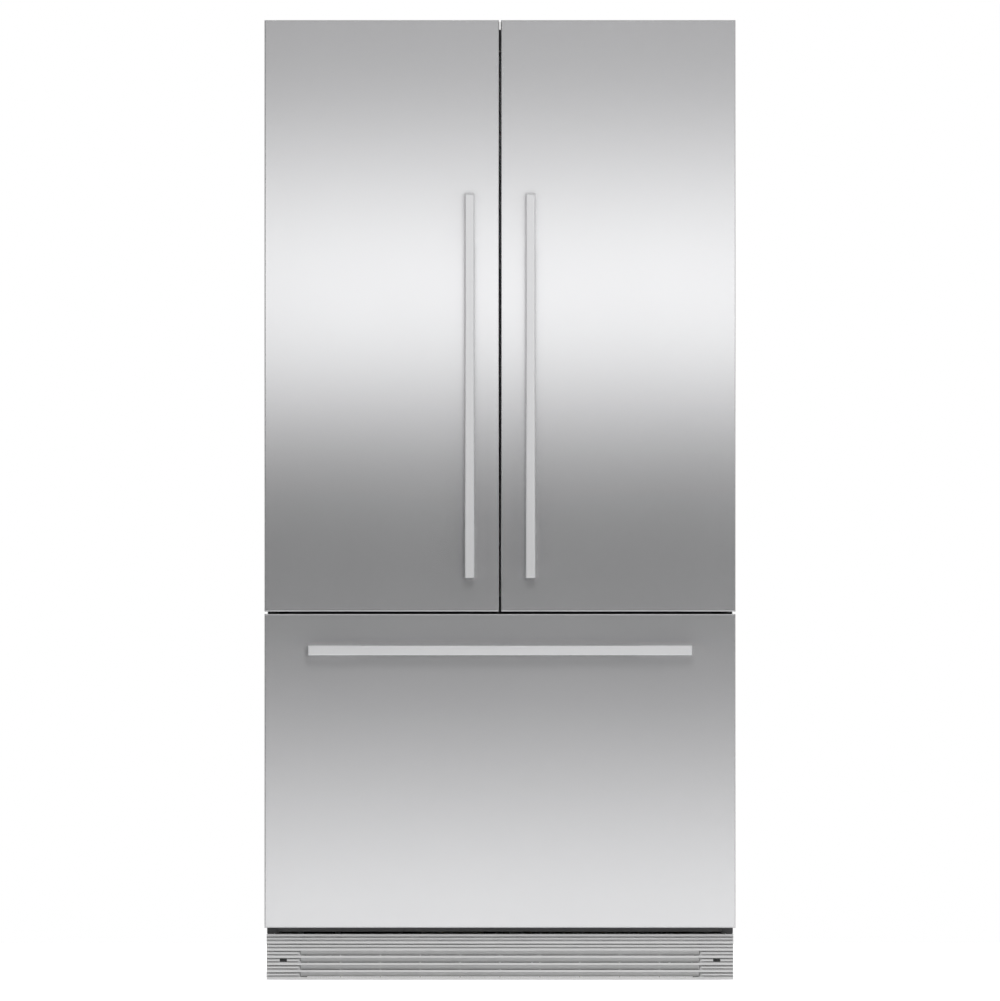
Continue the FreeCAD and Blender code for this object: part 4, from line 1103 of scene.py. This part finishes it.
class FRIDGE_OT_freezer_tubs(bpy.types.Operator):
    """Stepped freezer basket, sliding tray and the telescopic slides"""
    bl_idname = "fridge.freezer_tubs"
    bl_label = "Freezer Tubs"

    def execute(self, context):
        wall, corner = 3 * MM, sizes().tub_corner
        low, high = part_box("freezer_basket")
        x, front, step, rim = 375 * MM, -0.195, 0.300, high.z - wall
        lower = (-x, x, front, 0.062)
        upper = (-x, x, front, 0.188)
        bm = bmesh.new()
        shell_into(bm, "z", [(low.z, *lower), (step, *lower), (step, *upper), (rim, *upper)],
                   wall, corner, 14 * MM, flange=(low.x, high.x, low.y, high.y))
        for k in range(-4, 5):
            bar_into(bm, (k * 0.08 - 2 * MM, -0.1965, 0.18), (k * 0.08 + 2 * MM, -0.1945, 0.43),
                     "z", 0.9 * MM)
        built(bm, "stepped_basket", "frosted_tub", "drawer", "freezer_basket")
        low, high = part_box("freezer_tray")
        bm = bmesh.new()
        tub_in(bm, (-0.370, 0.370, low.y, high.y), rim + 6 * MM, high.z, wall, corner, 10 * MM)
        for _, s in BOTH:
            x0, x1 = span(s, 0.3675, high.x)
            bar_into(bm, (x0, low.y + corner, low.z), (x1, high.y - corner, low.z + 5.9 * MM),
                     "y", 1.2 * MM, 2 * MM)
        built(bm, "sliding_tray", "frosted_tub", "tray", "freezer_tray")
        dress("zinc", "cabinet_slide_rails", "slide_middle_rails", "drawer_slide_rails")
        return {"FINISHED"}


class FRIDGE_OT_lamps_controls(bpy.types.Operator):
    """Lamp lenses and the touch panel with its ring keys"""
    bl_idname = "fridge.lamps_controls"
    bl_label = "Lamps and Controls"

    def execute(self, context):
        softened("interior_lights", "lamp_lenses", 1.2, "lamp_lens")
        softened("control_panel", "touch_panel", 1.0, "gloss_black")
        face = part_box("control_panel")[0].z
        tree, given, out = open_geometry_tree("Touch keys", {"Radius": 0.005})
        ring, wire = (add(tree, "GeometryNodeCurvePrimitiveCircle",
                          {"Resolution": sides, "Radius": radius}).outputs[0]
                      for sides, radius in ((28, given["Radius"]), (6, 0.35 * MM)))
        key = add(tree, "GeometryNodeCurveToMesh", {"Curve": ring,
                                                    "Profile Curve": wire}).outputs[0]
        end_tree(tree, given, out, placed(tree, given["Geometry"], key))
        points = [(x * MM, -0.158, face) for x in (-90, -54, -18, 18, 54, 90)]
        mesh = grow(tree, {"Radius": 5 * MM}, "icon_white", "touch_keys", points)
        new_piece("touch_keys", tidied(mesh, "touch_keys"), "icon_white")
        return {"FINISHED"}


class FRIDGE_OT_machine_room(bpy.types.Operator):
    """Compressor, coils, fans, pan, inlet and rear cover"""
    bl_idname = "fridge.machine_room"
    bl_label = "Machine Room"

    def execute(self, context):
        dress("compressor_enamel", "compressor")
        dress("mount_rubber", "compressor_mounts")
        dress("fin_aluminium", "condenser", "evaporator")
        dress("fan_black", "condenser_fan", "evaporator_fan", "drain_pan")
        dress("motor_grey", "fan_motors")
        dress("galvanised", "machine_room_cover")
        softened("power_inlet", "appliance_inlet", 0.6, "fan_black")
        return {"FINISHED"}


class FRIDGE_OT_stage(bpy.types.Operator):
    """Pale floor, soft lights, tall graded reflector and the camera"""
    bl_idname = "fridge.stage"
    bl_label = "Stage"

    def execute(self, context):
        given = context.scene.fridge_stage
        scene = context.scene
        scene.world = soft_room()
        pale_floor()
        graded_reflector(given.reflector_strength)
        for name, place, size, watts in (
                ("key", (0.39, -5.0, 1.22), 0.3, given.key_power),
                ("upper", (0.3, -5.0, 3.0), 1.2, given.upper_power),
                ("overhead", (0.0, -0.2, 4.4), 3.6, given.overhead_power),
                ("rear", (0.6, 3.4, 2.6), 2.6, given.rear_power)):
            light = bpy.data.lights.new(name, "AREA")
            light.size = size
            light.energy = watts
            lamp = linked(name, light)
            lamp.location = place
            aim = Vector((0, 0, 0.9)) - Vector(place)
            lamp.rotation_euler = aim.to_track_quat("-Z", "Y").to_euler()
            lamp.visible_camera = False
            lamp.visible_glossy = False
        lens = bpy.data.cameras.new("front_view")
        lens.sensor_width = 36
        lens.lens = lens.sensor_width * given.distance / given.view_height
        lens.clip_end = 200
        camera = linked("front_view", lens)
        camera.location = (0, PANEL_FRONT - given.distance, HIGH.z / 2)
        camera.rotation_euler = (FACING_FRONT, 0, 0)
        scene.camera = camera
        scene.view_settings.view_transform = "Standard"
        scene.view_settings.look = "None"
        return {"FINISHED"}


def flat_sheet(name, half, segments, place=Matrix()):
    """A square sheet, moved by a matrix."""
    bm = bmesh.new()
    bmesh.ops.create_grid(bm, x_segments=segments, y_segments=segments, size=half)
    bm.transform(place)
    return linked(name, plain_mesh(bm, name))


def camera_ray(tree):
    return add(tree, "ShaderNodeLightPath").outputs["Is Camera Ray"]


def soft_room():
    """Soft light from all round, brighter from above and the right; white to the camera."""
    world = bpy.data.worlds.new("Soft room")
    world.use_nodes = True
    tree = world.node_tree
    tree.nodes.clear()
    direction = add(tree, "ShaderNodeTexCoord").outputs["Generated"]
    axes = add(tree, "ShaderNodeSeparateXYZ", {0: direction}).outputs
    room = maths(tree, "MULTIPLY", remap(tree, axes[2], -0.3, 1.0, 0.14, 0.38),
                 remap(tree, axes[0], -1.0, 1.0, 0.40, 1.40))
    back = add(tree, "ShaderNodeBackground",
               {"Color": mix_colour(tree, camera_ray(tree), room, (1, 1, 1))})
    add(tree, "ShaderNodeOutputWorld", {"Surface": back.outputs[0]})
    return world


def pale_floor():
    """A floor that glows for the camera only, so it shows white and lights nothing."""
    floor = flat_sheet("pale_floor", 2.2, 2)
    material, tree, sockets = start_material("pale_floor", Roughness=0.9, Emission_Strength=1.0)
    cloud = scaled_noise(tree, (0.6, 0.6, 0.6), 2.0)
    tree.links.new(mix_colour(tree, cloud, (0.93, 0.93, 0.93), (0.95, 0.95, 0.95)),
                   sockets["Base Color"])
    tree.links.new(mix_colour(tree, camera_ray(tree), (0, 0, 0), (0.8, 0.8, 0.8)),
                   sockets["Emission Color"])
    floor.data.materials.append(material)
    return floor


# Brightness of the reflector, each (height, value), and the height its ramp ends at
REFLECTOR_STOPS = ((0.0, 0.86), (0.15, 0.71), (0.35, 0.41), (0.55, 0.14), (0.75, 0.0),
                   (0.92, 0.0), (1.05, 0.26), (1.18, 0.82), (1.33, 1.05), (1.48, 0.77),
                   (1.62, 0.50), (1.76, 0.20), (2.0, 0.26))
RAMP_TOP = 2.4


def graded_reflector(strength):
    """A tall sheet of light in front, whose brightness changes with height; only gloss sees it."""
    stretch = Matrix.Diagonal((1.65, 1.6, 1, 1))
    turn = Euler((FACING_FRONT, 0, 0)).to_matrix().to_4x4()
    sheet = flat_sheet("graded_reflector", 1, 1,
                       Matrix.Translation((0.95, -1.25, 1.4)) @ turn @ stretch)
    for kind in ("camera", "diffuse", "transmission", "volume_scatter", "shadow"):
        setattr(sheet, "visible_" + kind, False)
    material = bpy.data.materials.new("graded_reflector")
    material.use_nodes = True
    tree = material.node_tree
    tree.nodes.clear()
    height = add(tree, "ShaderNodeSeparateXYZ", {0: object_coordinates(tree)}).outputs[2]
    ramp = add(tree, "ShaderNodeValToRGB", {0: remap(tree, height, 0.0, RAMP_TOP, 0.0, 1.0)})
    ramp.color_ramp.interpolation = "B_SPLINE"
    elements = ramp.color_ramp.elements
    for place, _ in REFLECTOR_STOPS[1:-1]:
        elements.new(place / RAMP_TOP)
    for element, (place, value) in zip(elements, REFLECTOR_STOPS):
        element.position = place / RAMP_TOP
        element.color = (value, value, value, 1)
    light = add(tree, "ShaderNodeEmission", {"Color": ramp.outputs[0], "Strength": strength})
    add(tree, "ShaderNodeOutputMaterial", {"Surface": light.outputs[0]})
    sheet.data.materials.append(material)
    return sheet


CLASSES = (FridgeSizes, FridgeColours, FridgeStage, FRIDGE_OT_front_steel, FRIDGE_OT_toe_grille,
           FRIDGE_OT_cabinet, FRIDGE_OT_fasteners, FRIDGE_OT_hinges, FRIDGE_OT_liners,
           FRIDGE_OT_door_insides, FRIDGE_OT_seals, FRIDGE_OT_door_bins, FRIDGE_OT_mullion,
           FRIDGE_OT_shelves, FRIDGE_OT_crispers, FRIDGE_OT_freezer_tubs,
           FRIDGE_OT_lamps_controls, FRIDGE_OT_machine_room, FRIDGE_OT_stage)
OPERATORS = [c for c in CLASSES if issubclass(c, bpy.types.Operator)]
SETTINGS = {"fridge_sizes": FridgeSizes, "fridge_colours": FridgeColours,
            "fridge_stage": FridgeStage}


class FRIDGE_PT_builder(bpy.types.Panel):
    """Lists the refrigerator's sizes, colours and building steps"""
    bl_idname = "FRIDGE_PT_builder"
    bl_label = "Refrigerator"
    bl_space_type = "VIEW_3D"
    bl_region_type = "UI"
    bl_category = "Refrigerator"

    def draw(self, context):
        for name in SETTINGS:
            group = getattr(context.scene, name)
            box = self.layout.box()
            for entry in group.__annotations__:
                box.prop(group, entry)
        for operator in OPERATORS:
            self.layout.operator(operator.bl_idname)


def register():
    for cls in CLASSES + (FRIDGE_PT_builder,):
        bpy.utils.register_class(cls)
    for name, group in SETTINGS.items():
        setattr(bpy.types.Scene, name, PointerProperty(type=group))


def unregister():
    for name in SETTINGS:
        delattr(bpy.types.Scene, name)
    for cls in reversed(CLASSES + (FRIDGE_PT_builder,)):
        bpy.utils.unregister_class(cls)


def main():
    register()
    for operator in OPERATORS:
        getattr(bpy.ops.fridge, operator.bl_idname.split(".")[1])()


if __name__ == "__main__":
    main()
